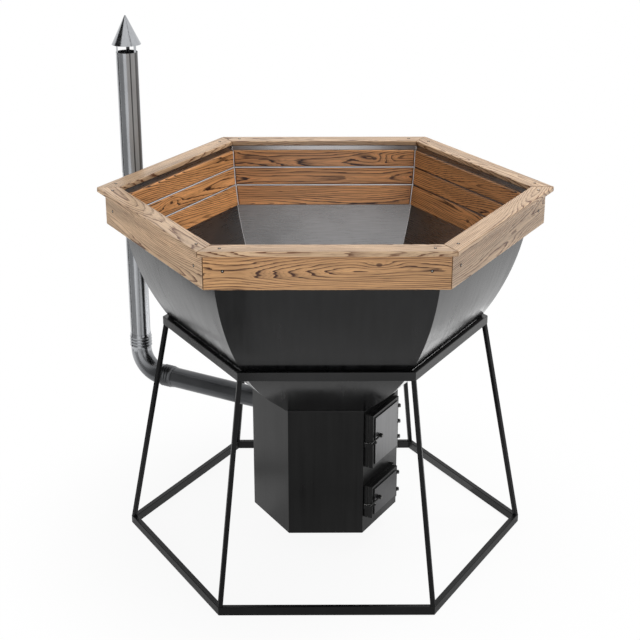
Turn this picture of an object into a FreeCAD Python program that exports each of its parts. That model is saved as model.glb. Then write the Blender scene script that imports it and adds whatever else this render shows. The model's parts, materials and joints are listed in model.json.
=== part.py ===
import FreeCAD, Part
import math
import os
import Sketcher

# Wood-fired bathing vat: a six-sided sheet steel bowl with a timber rim and timber backrests, held in a
# ring of square tube on six leaning legs, with a stove hung under it and a chimney rising beside it.
# Lengths are millimetres and angles degrees. Z is the axis of the bowl and points up, the floor is Z = 0
# and the front wall faces -Y. The stove's doors are on the wall to the right of the front one.

SIZES = {
    # timber rim: cap boards on top, fascia boards round the outside
    "rim_corner_radius": 1000.0,
    "rim_top_height": 1670.0,
    "cap_width": 88.0,
    "cap_thickness": 22.0,
    "cap_overhang": 30.0,
    "fascia_height": 146.0,
    "fascia_thickness": 20.0,
    "board_ease": 2.5,
    "mitre_gap": 0.8,
    # screws of the rim
    "screw_radius": 2.5,
    "screw_length": 40.0,
    "screw_head_radius": 6.0,
    "screw_head_height": 2.0,
    "cap_screw_inset": 62.0,
    "fascia_screw_inset": 78.0,
    "fascia_screw_drop": 68.0,
    # bowl of folded sheet
    "bowl_sheet": 3.0,
    "bowl_straight": 144.0,
    "bowl_lip": 90.0,
    # backrest boards, three to a wall
    "backrest_drop": 23.0,
    "backrest_height": 78.0,
    "backrest_low_height": 91.0,
    "backrest_gap": 9.0,
    "backrest_thickness": 12.0,
    "backrest_end_gap": 10.0,
    "backrest_seat": 0.2,
    # stand of tube
    "rail_height": 40.0,
    "rail_width": 25.0,
    "rail_wall": 2.0,
    "rail_ease": 2.0,
    "weld_gap": 0.1,
    "base_apothem": 802.0,
    "ring_top_height": 1064.0,
    "ring_seat": 0.1,
    "leg_side": 20.0,
    "leg_wall": 2.0,
    "leg_ease": 2.5,
    # stove
    "stove_apothem": 291.2,
    "stove_low_height": 107.5,
    "stove_top_height": 723.5,
    "stove_wall": 4.0,
    "stove_plate": 4.0,
    "door_turn": -30.0,
    "grate_height_share": 0.468,
    "grate_thickness": 12.0,
    "grate_play": 3.0,
    "grate_slot_width": 10.0,
    "grate_slot_length": 130.0,
    "grate_slot_pitch": 26.0,
    "grate_web": 24.0,
    "ledge_width": 25.0,
    "ledge_thickness": 5.0,
    # stove doors
    "door_width": 248.0,
    "door_shift": -32.0,
    "door_depth": 21.0,
    "door_sheet": 4.0,
    "door_panel_inset": 16.0,
    "door_panel_rise": 5.0,
    "fire_door_low_share": 0.546,
    "fire_door_high_share": 0.968,
    "ash_door_low_share": 0.131,
    "ash_door_high_share": 0.390,
    "frame_depth": 18.0,
    "frame_margin": 30.0,
    "frame_hinge_side": 18.0,
    "seal_thickness": 2.7,
    "seal_width": 12.0,
    "seal_inset": 2.0,
    "seal_play": 0.3,
    # door hinges
    "hinge_reach": 9.0,
    "hinge_pin_radius": 3.0,
    "hinge_ear_radius": 7.0,
    "hinge_ear_thickness": 6.0,
    "hinge_ear_root": 12.0,
    "hinge_ear_play": 0.4,
    "hinge_pin_head_radius": 5.0,
    "hinge_pin_head_height": 3.0,
    "running_play": 0.05,
    # door latches
    "latch_inset": 51.0,
    "latch_overreach": 48.0,
    "latch_rod_radius": 4.0,
    "latch_eye_radius": 10.0,
    "latch_eye_thickness": 10.0,
    "latch_boss_radius": 8.0,
    "latch_boss_height": 3.0,
    "latch_play": 0.3,
    "bolt_radius": 4.0,
    "bolt_head_radius": 7.0,
    "bolt_head_height": 5.0,
    "bolt_tail": 8.0,
    "keeper_gap": 1.0,
    "keeper_thickness": 6.0,
    "keeper_drop": 48.0,
    "keeper_root_height": 22.0,
    "keeper_root_start": 2.0,
    "keeper_tip_half": 8.0,
    "keeper_tip_height": 10.0,
    # flue and chimney
    "flue_height_share": 0.753,
    "flue_radius": 50.0,
    "flue_wall": 1.0,
    "flue_play": 0.3,
    "flue_slip": 60.0,
    "flue_collar_radius": 75.0,
    "flue_collar_thickness": 5.0,
    "chimney_gap": 131.0,
    "chimney_joint_height": 1592.0,
    "chimney_top_height": 2159.0,
    "bend_radius": 120.0,
    "bead_collar": 80.0,
    "bead_pitch": 15.0,
    "bead_rise": 4.0,
    # chimney cap
    "hood_radius": 67.0,
    "hood_tip_radius": 3.0,
    "hood_gap": 35.0,
    "hood_rise": 131.0,
    "hood_sheet": 1.5,
    "strap_width": 16.0,
    "strap_thickness": 1.5,
    "strap_depth": 45.0,
    # drain valve under the back wall
    "drain_inset": 36.0,
    "drain_bore_radius": 12.5,
    "drain_hole_radius": 13.5,
    "nipple_radius": 17.0,
    "nipple_length": 45.0,
    "valve_socket_depth": 15.0,
    "valve_end_radius": 22.0,
    "valve_belly_radius": 27.0,
    "valve_end_length": 20.0,
    "valve_centre_reach": 72.0,
    "valve_belly_half": 22.0,
    "spigot_radius": 16.6,
    "spigot_length": 24.0,
    "plug_radius": 16.0,
    "plug_half": 17.0,
    "plug_play": 0.3,
    "stem_radius": 5.0,
    "neck_radius": 9.0,
    "neck_reach": 34.0,
    "lever_length": 100.0,
    "lever_width": 18.0,
    "lever_thickness": 4.0,
    "lever_tail": 10.0,
    "lever_lift": 2.0,
    # floor grate inside the bowl
    "floor_lift": 22.0,
    "floor_play": 0.4,
    "bearer_height": 30.0,
    "bearer_width": 40.0,
    "bearer_reach": 150.0,
    "slat_thickness": 22.0,
    "slat_width": 70.0,
    "slat_gap": 12.0,
    # how far a cutting outline runs past what it cuts
    "overrun": 10.0,
}

WALLS = {
    "front": -90.0,
    "front_right": -30.0,
    "back_right": 30.0,
    "back": 90.0,
    "back_left": 150.0,
    "front_left": 210.0,
}
HALF_WALL = 30
BACKREST_ROWS = 3
BEADS = 4
STRAPS = 3
SCREW_SIDES = 8
SLATS_EACH_SIDE = 4
GRATE_SLOTS_EACH_SIDE = 5
HINGE_HEIGHT_SHARES = {"fire": (0.2, 0.5, 0.8), "ash": (0.2, 0.76)}
LATCH_HEIGHT_SHARE = 0.57

WORKED = {
    "rim_apothem": "sizes.rim_corner_radius * cos(30)",
    "mitre_reach": "sizes.rim_corner_radius + sizes.overrun",
    "cap_inner": "rim_apothem - sizes.cap_width",
    "cap_low": "sizes.rim_top_height - sizes.cap_thickness",
    "fascia_outer": "rim_apothem - sizes.cap_overhang",
    "fascia_inner": "fascia_outer - sizes.fascia_thickness",
    "fascia_middle": "fascia_outer - sizes.fascia_thickness / 2",
    "fascia_low": "cap_low - sizes.fascia_height",
    "fascia_screw_height": "cap_low - sizes.fascia_screw_drop",
    "fascia_screw_reach": "fascia_outer * tan(30) - sizes.fascia_screw_inset",
    "cap_screw_reach": "fascia_middle * tan(30) - sizes.cap_screw_inset",
    "screw_hole": "sizes.screw_radius + sizes.running_play",
    # the bowl's section: upright at the rim, an arc, then a straight slope down to the stove
    "bowl_top": "cap_low - sizes.bowl_sheet",
    "bowl_outer": "cap_inner + sizes.bowl_sheet",
    "bowl_drop": "bowl_top - sizes.stove_top_height",
    "bowl_lean": "bowl_outer - sizes.stove_apothem",
    "bowl_radius": "(bowl_lean ^ 2 + bowl_drop ^ 2 - sizes.bowl_straight ^ 2) / (2 * bowl_lean)",
    "bowl_slope": "90 deg - atan(bowl_drop / (bowl_radius - bowl_lean))"
                  " + atan(sizes.bowl_straight / bowl_radius)",
    "bowl_inner_radius": "bowl_radius - sizes.bowl_sheet",
    "bowl_centre": "bowl_outer - bowl_radius",
    "bend_outer_x": "bowl_centre + bowl_radius * sin(bowl_slope)",
    "bend_outer_z": "bowl_top - bowl_radius * cos(bowl_slope)",
    "bend_inner_x": "bowl_centre + bowl_inner_radius * sin(bowl_slope)",
    "bend_inner_z": "bowl_top - bowl_inner_radius * cos(bowl_slope)",
    "foot_inner": "sizes.stove_apothem - sizes.bowl_sheet / sin(bowl_slope)",
    # stand
    "ring_low": "sizes.ring_top_height - sizes.rail_height",
    "ring_edge_drop": "bowl_top - sizes.ring_top_height + sizes.rail_ease",
    "ring_wall_side": "bowl_centre + sqrt(bowl_radius ^ 2 - ring_edge_drop ^ 2)",
    "ring_inner": "ring_wall_side + sizes.ring_seat",
    "ring_outer": "ring_inner + sizes.rail_width",
    "ring_corner": "(ring_inner + sizes.rail_width / 2) / cos(30)",
    "base_inner": "sizes.base_apothem - sizes.rail_width",
    "base_corner": "(base_inner + sizes.rail_width / 2) / cos(30)",
    "leg_rise": "ring_low - sizes.rail_height",
    "leg_run": "base_corner - ring_corner",
    "leg_stretch": "sqrt(leg_run ^ 2 + leg_rise ^ 2) / leg_rise",
    "leg_half": "sizes.leg_side / sqrt(2)",
    "leg_bore": "leg_half - sizes.leg_wall * sqrt(2)",
    # stove
    "stove_height": "sizes.stove_top_height - sizes.stove_low_height",
    "shell_low": "sizes.stove_low_height + sizes.stove_plate",
    "shell_top": "sizes.stove_top_height - sizes.stove_plate",
    "stove_inner": "sizes.stove_apothem - sizes.stove_wall",
    "grate_top": "sizes.stove_low_height + stove_height * sizes.grate_height_share",
    "grate_low": "grate_top - sizes.grate_thickness",
    # doors: their heights on the stove, then places from the stove's door wall outward
    "fire_door_low": "sizes.stove_low_height + stove_height * sizes.fire_door_low_share",
    "fire_door_high": "sizes.stove_low_height + stove_height * sizes.fire_door_high_share",
    "ash_door_low": "sizes.stove_low_height + stove_height * sizes.ash_door_low_share",
    "ash_door_high": "sizes.stove_low_height + stove_height * sizes.ash_door_high_share",
    "door_left": "sizes.door_shift - sizes.door_width / 2",
    "door_right": "sizes.door_shift + sizes.door_width / 2",
    "frame_left": "door_left - sizes.keeper_gap",
    "frame_right": "door_right + sizes.frame_hinge_side",
    "open_left": "door_left + sizes.frame_margin",
    "open_right": "door_right - sizes.frame_margin",
    "frame_front": "sizes.stove_apothem + sizes.frame_depth",
    "seal_back": "frame_front + sizes.seal_play",
    "door_back": "seal_back + sizes.seal_thickness",
    "door_front": "door_back + sizes.door_depth",
    "panel_front": "door_front + sizes.door_panel_rise",
    "boss_front": "panel_front + sizes.latch_boss_height",
    "latch_back": "boss_front + sizes.latch_play",
    "latch_axis": "latch_back + sizes.latch_eye_thickness / 2",
    "latch_front": "latch_back + sizes.latch_eye_thickness",
    "latch_pivot": "door_left + sizes.latch_inset",
    "latch_root": "latch_pivot - (sizes.bolt_radius + sizes.latch_eye_radius) / 2",
    "latch_tip": "door_left - sizes.latch_overreach",
    "bolt_hole": "sizes.bolt_radius + sizes.running_play",
    "hinge_axis": "door_right + sizes.hinge_reach",
    "hinge_hole": "sizes.hinge_pin_radius + sizes.running_play",
    # flue
    "flue_height": "sizes.stove_low_height + stove_height * sizes.flue_height_share",
    "chimney_reach": "rim_apothem + sizes.chimney_gap + sizes.flue_radius",
    "inner_pipe": "sizes.flue_radius - sizes.flue_wall - sizes.flue_play",
    "inner_pipe_bore": "inner_pipe - sizes.flue_wall",
    "outer_pipe_bore": "sizes.flue_radius - sizes.flue_wall",
    "bend_start": "chimney_reach - sizes.bend_radius",
    "bend_top": "flue_height + sizes.bend_radius",
    "hood_low": "sizes.chimney_top_height + sizes.hood_gap",
    "hood_top": "hood_low + sizes.hood_rise",
    "hood_run": "sizes.hood_radius - sizes.hood_tip_radius",
    "hood_slant": "sqrt(hood_run ^ 2 + sizes.hood_rise ^ 2)",
    "hood_sheet_rise": "sizes.hood_sheet * hood_slant / hood_run",
    "hood_sheet_run": "sizes.hood_sheet * hood_slant / sizes.hood_rise",
    "strap_face": "sqrt((outer_pipe_bore - sizes.flue_play) ^ 2 - (sizes.strap_width / 2) ^ 2)",
    "strap_top": "hood_low + sizes.hood_rise * (sizes.hood_radius - outer_pipe_bore) / hood_run"
                 " - hood_sheet_rise",
    "strap_low": "sizes.chimney_top_height - sizes.strap_depth",
    # drain
    "drain_apothem": "sizes.stove_apothem + sizes.drain_inset",
    "drain_height": "sizes.stove_top_height + sizes.drain_inset * tan(bowl_slope)",
    "valve_start": "sizes.nipple_length - sizes.valve_socket_depth",
    "cavity_radius": "sizes.plug_radius + sizes.plug_play",
    "cavity_half": "sizes.plug_half + sizes.plug_play",
    "valve_belly_low": "sizes.valve_centre_reach - sizes.valve_belly_half",
    "valve_belly_high": "sizes.valve_centre_reach + sizes.valve_belly_half",
    "valve_end": "valve_belly_high + sizes.valve_end_length / 2",
    "spigot_end": "valve_end + sizes.spigot_length",
    "lever_low": "sizes.neck_reach + sizes.lever_lift",
    # floor grate
    "bearer_low": "sizes.stove_top_height + sizes.floor_lift",
    "slat_low": "bearer_low + sizes.bearer_height",
    "bearer_half": "foot_inner + sizes.floor_lift / tan(bowl_slope) - sizes.floor_play",
    "slat_apothem": "foot_inner + (slat_low - sizes.stove_top_height) / tan(bowl_slope)"
                    " - sizes.floor_play",
    "slat_corner": "slat_apothem / cos(30)",
    "slat_pitch": "sizes.slat_width + sizes.slat_gap",
}

doc = FreeCAD.newDocument("bathing_vat")
nodes = []


def vector(x, y, z):
    return FreeCAD.Vector(x, y, z)


def fill_sheet(name, cells):
    """A sheet with a name, a value or formula and an alias in each row."""
    sheet = doc.addObject("Spreadsheet::Sheet", name)
    for row, (alias, content) in enumerate(cells.items(), start=1):
        sheet.set(f"A{row}", alias)
        sheet.set(f"B{row}", content)
        sheet.setAlias(f"B{row}", alias)
    return sheet


sizes = fill_sheet("sizes", {alias: str(value) for alias, value in SIZES.items()})
doc.recompute()
worked = fill_sheet("worked", {alias: "=" + formula for alias, formula in WORKED.items()})
doc.recompute()


def num(expression):
    """The number that an expression on the sheets comes to."""
    value = sizes.evalExpression(expression)
    return float(getattr(value, "Value", value))


def keep(item):
    """Counts an object as one of the part's nodes."""
    nodes.append(item)
    return item


def group(name, members):
    """Several solids under one node."""
    item = doc.addObject("Part::Compound", "Group")
    item.Label = name
    item.Links = members
    return keep(item)


def turned_about_z(angle):
    return FreeCAD.Placement(vector(0, 0, 0), FreeCAD.Rotation(vector(0, 0, 1), angle))


def new_body(name, placement=None):
    body = doc.addObject("PartDesign::Body", "Body")
    body.Label = name
    if placement:
        body.Placement = placement
    return body


def origin_feature(body, role):
    return next(item for item in body.Origin.OriginFeatures if item.Role == role)


def bind(sketch, constraint, expression):
    index = sketch.addConstraint(constraint)
    sketch.setExpression(f"Constraints[{index}]", expression)


def pin_point(sketch, geometry, end, corner):
    """Ties a point of the sketch to a pair of expressions."""
    for kind, axis, expression in (("DistanceX", -2, corner[0]), ("DistanceY", -1, corner[1])):
        if expression == "0":
            sketch.addConstraint(Sketcher.Constraint("PointOnObject", geometry, end, axis))
        else:
            distance = Sketcher.Constraint(kind, -1, 1, geometry, end, num(expression))
            bind(sketch, distance, expression)


def add_circle(sketch, x, y, radius):
    centre = vector(num(x), num(y), 0)
    circle = sketch.addGeometry(Part.Circle(centre, vector(0, 0, 1), num(radius)), False)
    pin_point(sketch, circle, 3, (x, y))
    bind(sketch, Sketcher.Constraint("Radius", circle, num(radius)), radius)


def add_arc(sketch, start, end, radius, side):
    """An arc under a half circle whose centre is on the left (1) or right (-1) of the way along it."""
    chord = end - start
    rise = math.sqrt(max(num(radius) ** 2 - (chord.Length / 2) ** 2, 0))
    centre = (start + end) / 2 + vector(-chord.y, chord.x, 0).normalize() * (rise * side)
    first, last = (start, end) if side > 0 else (end, start)
    angles = [math.atan2(point.y - centre.y, point.x - centre.x) for point in (first, last)]
    if angles[1] < angles[0]:
        angles[1] += 2 * math.pi
    circle = Part.Circle(centre, vector(0, 0, 1), num(radius))
    arc = sketch.addGeometry(Part.ArcOfCircle(circle, angles[0], angles[1]), False)
    bind(sketch, Sketcher.Constraint("Radius", arc, num(radius)), radius)
    return arc


def add_loop(sketch, corners):
    """A closed loop; a corner with a radius and a side starts an arc, the others start a line."""
    points = [vector(num(corner[0]), num(corner[1]), 0) for corner in corners]
    ends = []
    for index, corner in enumerate(corners):
        start = points[index]
        end = points[(index + 1) % len(points)]
        if len(corner) == 2:
            ends.append((sketch.addGeometry(Part.LineSegment(start, end), False), 1, 2))
        elif corner[3] > 0:
            ends.append((add_arc(sketch, start, end, corner[2], corner[3]), 1, 2))
        else:
            ends.append((add_arc(sketch, start, end, corner[2], corner[3]), 2, 1))
    for index, (geometry, first, last) in enumerate(ends):
        following = ends[(index + 1) % len(ends)]
        sketch.addConstraint(Sketcher.Constraint("Coincident", geometry, last, following[0], following[1]))
        pin_point(sketch, geometry, first, corners[index])


def outline(body, plane, loops, offset="0", axis=None):
    """A sketch on one of the body's own planes: lists are loops of corners, tuples are circles."""
    sketch = body.newObject("Sketcher::SketchObject", "Outline")
    sketch.AttachmentSupport = [(origin_feature(body, plane), "")]
    sketch.MapMode = "FlatFace"
    if offset != "0":
        sketch.setExpression("AttachmentOffset.Base.z", offset)
    for loop in loops:
        if isinstance(loop, tuple):
            add_circle(sketch, *loop)
        else:
            add_loop(sketch, loop)
    if axis:
        ends = [vector(num(x), num(y), 0) for x, y in axis]
        line = sketch.addGeometry(Part.LineSegment(ends[0], ends[1]), True)
        pin_point(sketch, line, 1, axis[0])
        pin_point(sketch, line, 2, axis[1])
    return sketch


def pad(body, sketch, length, both=False, back=False):
    feature = body.newObject("PartDesign::Pad", "Pad")
    feature.Profile = sketch
    feature.setExpression("Length", length)
    feature.Reversed = back
    if both:
        feature.SideType = "Symmetric"
    return feature


def cut(body, sketch, length=None, back=False):
    """A pocket of a given depth, or through everything both ways; it has to take material away."""
    doc.recompute()
    before = body.Shape.Volume
    feature = body.newObject("PartDesign::Pocket", "Pocket")
    feature.Profile = sketch
    feature.Reversed = back
    if length:
        feature.setExpression("Length", length)
    else:
        feature.Type = "ThroughAll"
        feature.SideType = "Symmetric"
    doc.recompute()
    if body.Shape.Volume >= before:
        raise RuntimeError("nothing was cut from " + body.Label)
    return feature


def revolve(body, sketch, axis="V_Axis", angle="360", back=False, kind="Revolution"):
    feature = body.newObject("PartDesign::" + kind, kind)
    feature.Profile = sketch
    feature.ReferenceAxis = (sketch, [axis])
    feature.setExpression("Angle", angle)
    feature.Reversed = back
    return feature


def rectangle(left, low, right, high):
    return [(left, low), (right, low), (right, high), (left, high)]


def inset(loop_sides, amount):
    """The four sides of a rectangle moved inward."""
    left, low, right, high = loop_sides
    return (f"{left} + {amount}", f"{low} + {amount}", f"{right} - {amount}", f"{high} - {amount}")


def eased(left, low, right, high, ease):
    """A rectangle with its corners taken off."""
    return [
        (f"{left} + {ease}", low), (f"{right} - {ease}", low),
        (right, f"{low} + {ease}"), (right, f"{high} - {ease}"),
        (f"{right} - {ease}", high), (f"{left} + {ease}", high),
        (left, f"{high} - {ease}"), (left, f"{low} + {ease}"),
    ]


def screw_outline(radius, x="0", y="0"):
    """The many-sided outline that stands for a small screw's round one."""
    angles = [360 * (side + 0.5) / SCREW_SIDES for side in range(SCREW_SIDES)]
    return [(f"{x} + {radius} * cos({angle})", f"{y} + {radius} * sin({angle})") for angle in angles]


def hexagon(apothem, first_corner):
    """Six corners, the first at the given angle."""
    corner = f"{apothem} / cos({HALF_WALL})"
    angles = [first_corner + 60 * step for step in range(6)]
    return [(f"{corner} * cos({angle})" if angle % 180 != 90 else "0", f"{corner} * sin({angle})")
            for angle in angles]


def mitred(name, loops, gap, turn):
    """A length of one section along a wall, its ends cut on the planes through the corners.

    The section lies outward in X and up in Z; the gap is what stays open between neighbours.
    """
    body = new_body(name, turned_about_z(turn))
    pad(body, outline(body, "XZ_Plane", loops), "worked.mitre_reach * 2", both=True)
    reach = "worked.mitre_reach"
    half = f"({reach} * tan({HALF_WALL}) - {gap} / (2 * cos({HALF_WALL})))"
    tip = f"{gap} / (2 * sin({HALF_WALL}))" if gap != "0" else "0"
    beside_wall = [
        (tip, "0"), (reach, half), (reach, reach), ("-sizes.overrun", reach),
        ("-sizes.overrun", f"-{reach}"), (reach, f"-{reach}"), (reach, f"-{half}"),
    ]
    cut(body, outline(body, "XY_Plane", [beside_wall]))
    return body


def turned(name, profile, placement):
    """A piece turned about its own Z axis from a profile of radii and heights."""
    body = new_body(name, placement)
    revolve(body, outline(body, "XZ_Plane", [profile]))
    return body


def both_ends(reach):
    return (f"-{reach}", reach)


# the bowl: six panels whose top edge is folded out over the ring and down behind the fascia boards
PANEL_SECTION = [
    ("sizes.stove_apothem", "sizes.stove_top_height"),
    ("worked.bend_outer_x", "worked.bend_outer_z", "worked.bowl_radius", 1),
    ("worked.bowl_outer", "worked.bowl_top"),
    ("worked.fascia_inner - sizes.bowl_sheet", "worked.bowl_top"),
    ("worked.fascia_inner - sizes.bowl_sheet", "worked.bowl_top - sizes.bowl_lip"),
    ("worked.fascia_inner", "worked.bowl_top - sizes.bowl_lip"),
    ("worked.fascia_inner", "worked.cap_low"),
    ("worked.cap_inner", "worked.cap_low"),
    ("worked.cap_inner", "worked.bowl_top", "worked.bowl_inner_radius", -1),
    ("worked.bend_inner_x", "worked.bend_inner_z"),
    ("worked.foot_inner", "sizes.stove_top_height"),
]


def bowl_panel(side, turn):
    panel = mitred("bowl_panel_" + side, [PANEL_SECTION], "0", turn)
    holes = [screw_outline("worked.screw_hole", end, "worked.fascia_screw_height")
             for end in both_ends("worked.fascia_screw_reach")]
    cut(panel, outline(panel, "YZ_Plane", holes, "worked.fascia_inner"), "sizes.bowl_sheet + sizes.overrun")
    if side == "back":
        drain = outline(panel, "XY_Plane", [("0", "0", "sizes.drain_hole_radius")])
        drain.AttachmentOffset = FreeCAD.Placement(
            vector(0, 0, 0), FreeCAD.Rotation(vector(0, 1, 0), 180 - num("worked.bowl_slope")))
        drain.setExpression("AttachmentOffset.Base.x", "worked.drain_apothem")
        drain.setExpression("AttachmentOffset.Base.z", "worked.drain_height")
        cut(panel, drain, "sizes.bowl_sheet + sizes.overrun")
    return keep(panel)


def cap_board(side, turn):
    section = eased("worked.cap_inner", "worked.cap_low", "worked.rim_apothem", "sizes.rim_top_height",
                    "sizes.board_ease")
    board = mitred("cap_board_" + side, [section], "sizes.mitre_gap", turn)
    holes = [screw_outline("worked.screw_hole", "worked.fascia_middle", end)
             for end in both_ends("worked.cap_screw_reach")]
    cut(board, outline(board, "XY_Plane", holes, "sizes.rim_top_height"),
        "sizes.cap_thickness + sizes.overrun")
    return keep(board)


def fascia_board(side, turn):
    section = eased("worked.fascia_inner", "worked.fascia_low", "worked.fascia_outer", "worked.cap_low",
                    "sizes.board_ease")
    board = mitred("fascia_board_" + side, [section], "sizes.mitre_gap", turn)
    through = [screw_outline("worked.screw_hole", end, "worked.fascia_screw_height")
               for end in both_ends("worked.fascia_screw_reach")]
    cut(board, outline(board, "YZ_Plane", through, "worked.fascia_outer"),
        "sizes.fascia_thickness + sizes.overrun")
    down = [screw_outline("worked.screw_hole", "worked.fascia_middle", end)
            for end in both_ends("worked.cap_screw_reach")]
    cut(board, outline(board, "XY_Plane", down, "worked.cap_low"), "sizes.screw_length - sizes.cap_thickness"
        " + sizes.overrun")
    return keep(board)


def screw(name, placement):
    """A flat-headed screw, its head resting on the plane Z = 0."""
    body = new_body(name, placement)
    pad(body, outline(body, "XY_Plane", [screw_outline("sizes.screw_head_radius")]), "sizes.screw_head_height")
    pad(body, outline(body, "XY_Plane", [screw_outline("sizes.screw_radius")]), "sizes.screw_length", back=True)
    return body


def rim_screws(side, turn):
    """Two screws down through the cap board and two in through the fascia board."""
    wall = turned_about_z(turn)
    outward = FreeCAD.Rotation(vector(0, 1, 0), 90)
    screws = []
    for sign in (-1, 1):
        place = vector(num("worked.fascia_middle"), sign * num("worked.cap_screw_reach"),
                       num("sizes.rim_top_height"))
        screws.append(screw("cap_screw_" + side, wall * FreeCAD.Placement(place, FreeCAD.Rotation())))
        place = vector(num("worked.fascia_outer"), sign * num("worked.fascia_screw_reach"),
                       num("worked.fascia_screw_height"))
        screws.append(screw("fascia_screw_" + side, wall * FreeCAD.Placement(place, outward)))
    return screws


def bowl_side(height):
    """How far the bowl's inside is from its axis at a height on the curved part."""
    return (f"(worked.bowl_centre + sqrt(worked.bowl_inner_radius ^ 2 - (worked.bowl_top - ({height})) ^ 2)"
            f" - sizes.backrest_seat)")


def backrest_section(row):
    """A flat board whose two back edges rest on the curved wall."""
    pitch = "(sizes.backrest_height + sizes.backrest_gap)"
    board = "sizes.backrest_low_height" if row == BACKREST_ROWS - 1 else "sizes.backrest_height"
    top = f"(worked.cap_low - sizes.backrest_drop - {row} * {pitch})"
    low = f"({top} - {board})"
    lean = f"atan(({bowl_side(top)} - {bowl_side(low)}) / {board})"
    ease = "sizes.board_ease"
    deep = "sizes.backrest_thickness"

    def point(edge_height, inward, along):
        return (f"{bowl_side(edge_height)} - ({inward}) * cos({lean}) + ({along}) * sin({lean})",
                f"{edge_height} + ({inward}) * sin({lean}) + ({along}) * cos({lean})")

    return [
        point(low, "0", "0"), point(top, "0", "0"),
        point(top, f"{deep} - {ease}", "0"), point(top, deep, f"-{ease}"),
        point(low, deep, ease), point(low, f"{deep} - {ease}", "0"),
    ]


def backrest(side, turn):
    boards = [mitred(f"backrest_board_{side}_{row + 1}", [backrest_section(row)],
                     "sizes.backrest_end_gap", turn) for row in range(BACKREST_ROWS)]
    return group("backrest_" + side, boards)


def rails(name, inner, outer, low, high):
    """Six lengths of rectangular tube mitred into a ring."""
    sides = (inner, low, outer, high)
    section = [eased(*sides, "sizes.rail_ease"), rectangle(*inset(sides, "sizes.rail_wall"))]
    return group(name, [mitred(f"{name}_{side}", section, "sizes.weld_gap", turn)
                        for side, turn in WALLS.items()])


def leg(turn):
    """Square tube standing corner outward on the base rails and leaning in under the ring."""
    body = new_body("leg", turned_about_z(turn))
    foot = "worked.base_corner"
    ease = "(sizes.leg_ease / sqrt(2))"
    half = "worked.leg_half"
    outer = []
    inner = []
    for step in range(4):
        along = (1, 0, -1, 0)[step]
        across = (0, 1, 0, -1)[step]
        for side in (-1, 1):
            run = f"({along} * ({half} - {ease}) - {side * across} * {ease})"
            rise = f"{across} * ({half} - {ease}) + {side * along} * {ease}"
            outer.append((f"{foot} + {run} * worked.leg_stretch", rise))
        height = f"{across} * worked.leg_bore" if across else "0"
        inner.append((f"{foot} + {along} * worked.leg_bore * worked.leg_stretch", height))
    tube = pad(body, outline(body, "XY_Plane", [outer, inner], "sizes.rail_height"), "worked.leg_rise")
    tube.UseCustomVector = True
    tube.Direction = vector(-num("worked.leg_run"), 0, num("worked.leg_rise"))
    tube.AlongSketchNormal = True
    return body


for wall_side, wall_turn in WALLS.items():
    bowl_panel(wall_side, wall_turn)
for wall_side, wall_turn in WALLS.items():
    cap_board(wall_side, wall_turn)
    fascia_board(wall_side, wall_turn)
    backrest(wall_side, wall_turn)
group("rim_screws", [item for side, turn in WALLS.items() for item in rim_screws(side, turn)])
rails("base_rails", "worked.base_inner", "sizes.base_apothem", "0", "sizes.rail_height")
rails("ring_rails", "worked.ring_inner", "worked.ring_outer", "worked.ring_low", "sizes.ring_top_height")
group("legs", [leg(turn + HALF_WALL) for turn in WALLS.values()])

# the stove: its own X points out of the wall with the doors, and the flue leaves along -X
STOVE = turned_about_z(num("sizes.door_turn"))


def hex_plate(name, apothem, low, thickness):
    body = new_body(name, STOVE)
    pad(body, outline(body, "XY_Plane", [hexagon(apothem, HALF_WALL)], low), thickness)
    return body


def door_sides(door):
    return ("worked.door_left", f"worked.{door}_door_low", "worked.door_right", f"worked.{door}_door_high")


def door_opening(door):
    return rectangle(*inset(door_sides(door), "sizes.frame_margin"))


keep(hex_plate("bowl_floor", "sizes.stove_apothem", "worked.shell_top", "sizes.stove_plate"))
keep(hex_plate("stove_bottom", "sizes.stove_apothem", "sizes.stove_low_height", "sizes.stove_plate"))

shell = keep(new_body("stove_shell", STOVE))
shell_loops = [hexagon("sizes.stove_apothem", HALF_WALL), hexagon("worked.stove_inner", HALF_WALL)]
pad(shell, outline(shell, "XY_Plane", shell_loops, "worked.shell_low"), "worked.shell_top - worked.shell_low")
cut(shell, outline(shell, "YZ_Plane", [door_opening("fire"), door_opening("ash")], "sizes.stove_apothem"),
    "sizes.stove_wall + sizes.overrun")
cut(shell, outline(shell, "YZ_Plane", [("0", "worked.flue_height", "worked.inner_pipe + sizes.flue_play")],
                   "-sizes.stove_apothem"), "sizes.stove_wall + sizes.overrun", back=True)

grate = keep(hex_plate("fire_grate", "(worked.stove_inner - sizes.grate_play)", "worked.grate_low",
                       "sizes.grate_thickness"))
slots = []
for slot in range(-GRATE_SLOTS_EACH_SIDE, GRATE_SLOTS_EACH_SIDE + 1):
    left = f"{slot} * sizes.grate_slot_pitch - sizes.grate_slot_width / 2"
    right = f"{slot} * sizes.grate_slot_pitch + sizes.grate_slot_width / 2"
    near = "sizes.grate_web / 2"
    far = "(sizes.grate_web / 2 + sizes.grate_slot_length)"
    slots.append(rectangle(left, near, right, far))
    slots.append(rectangle(left, f"-{far}", right, f"-{near}"))
cut(grate, outline(grate, "XY_Plane", slots, "worked.grate_top"), "sizes.grate_thickness + sizes.overrun")

ledge = rectangle("worked.stove_inner - sizes.ledge_width", "worked.grate_low - sizes.ledge_thickness",
                  "worked.stove_inner", "worked.grate_low")
group("grate_ledges", [mitred("grate_ledge_" + side, [ledge], "0", turn) for side, turn in WALLS.items()])


def hinge_heights(door):
    _, low, _, high = door_sides(door)
    return [f"({low} + ({high} - {low}) * {share})" for share in HINGE_HEIGHT_SHARES[door]]


def latch_height(door):
    _, low, _, high = door_sides(door)
    return f"({low} + ({high} - {low}) * {LATCH_HEIGHT_SHARE})"


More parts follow.
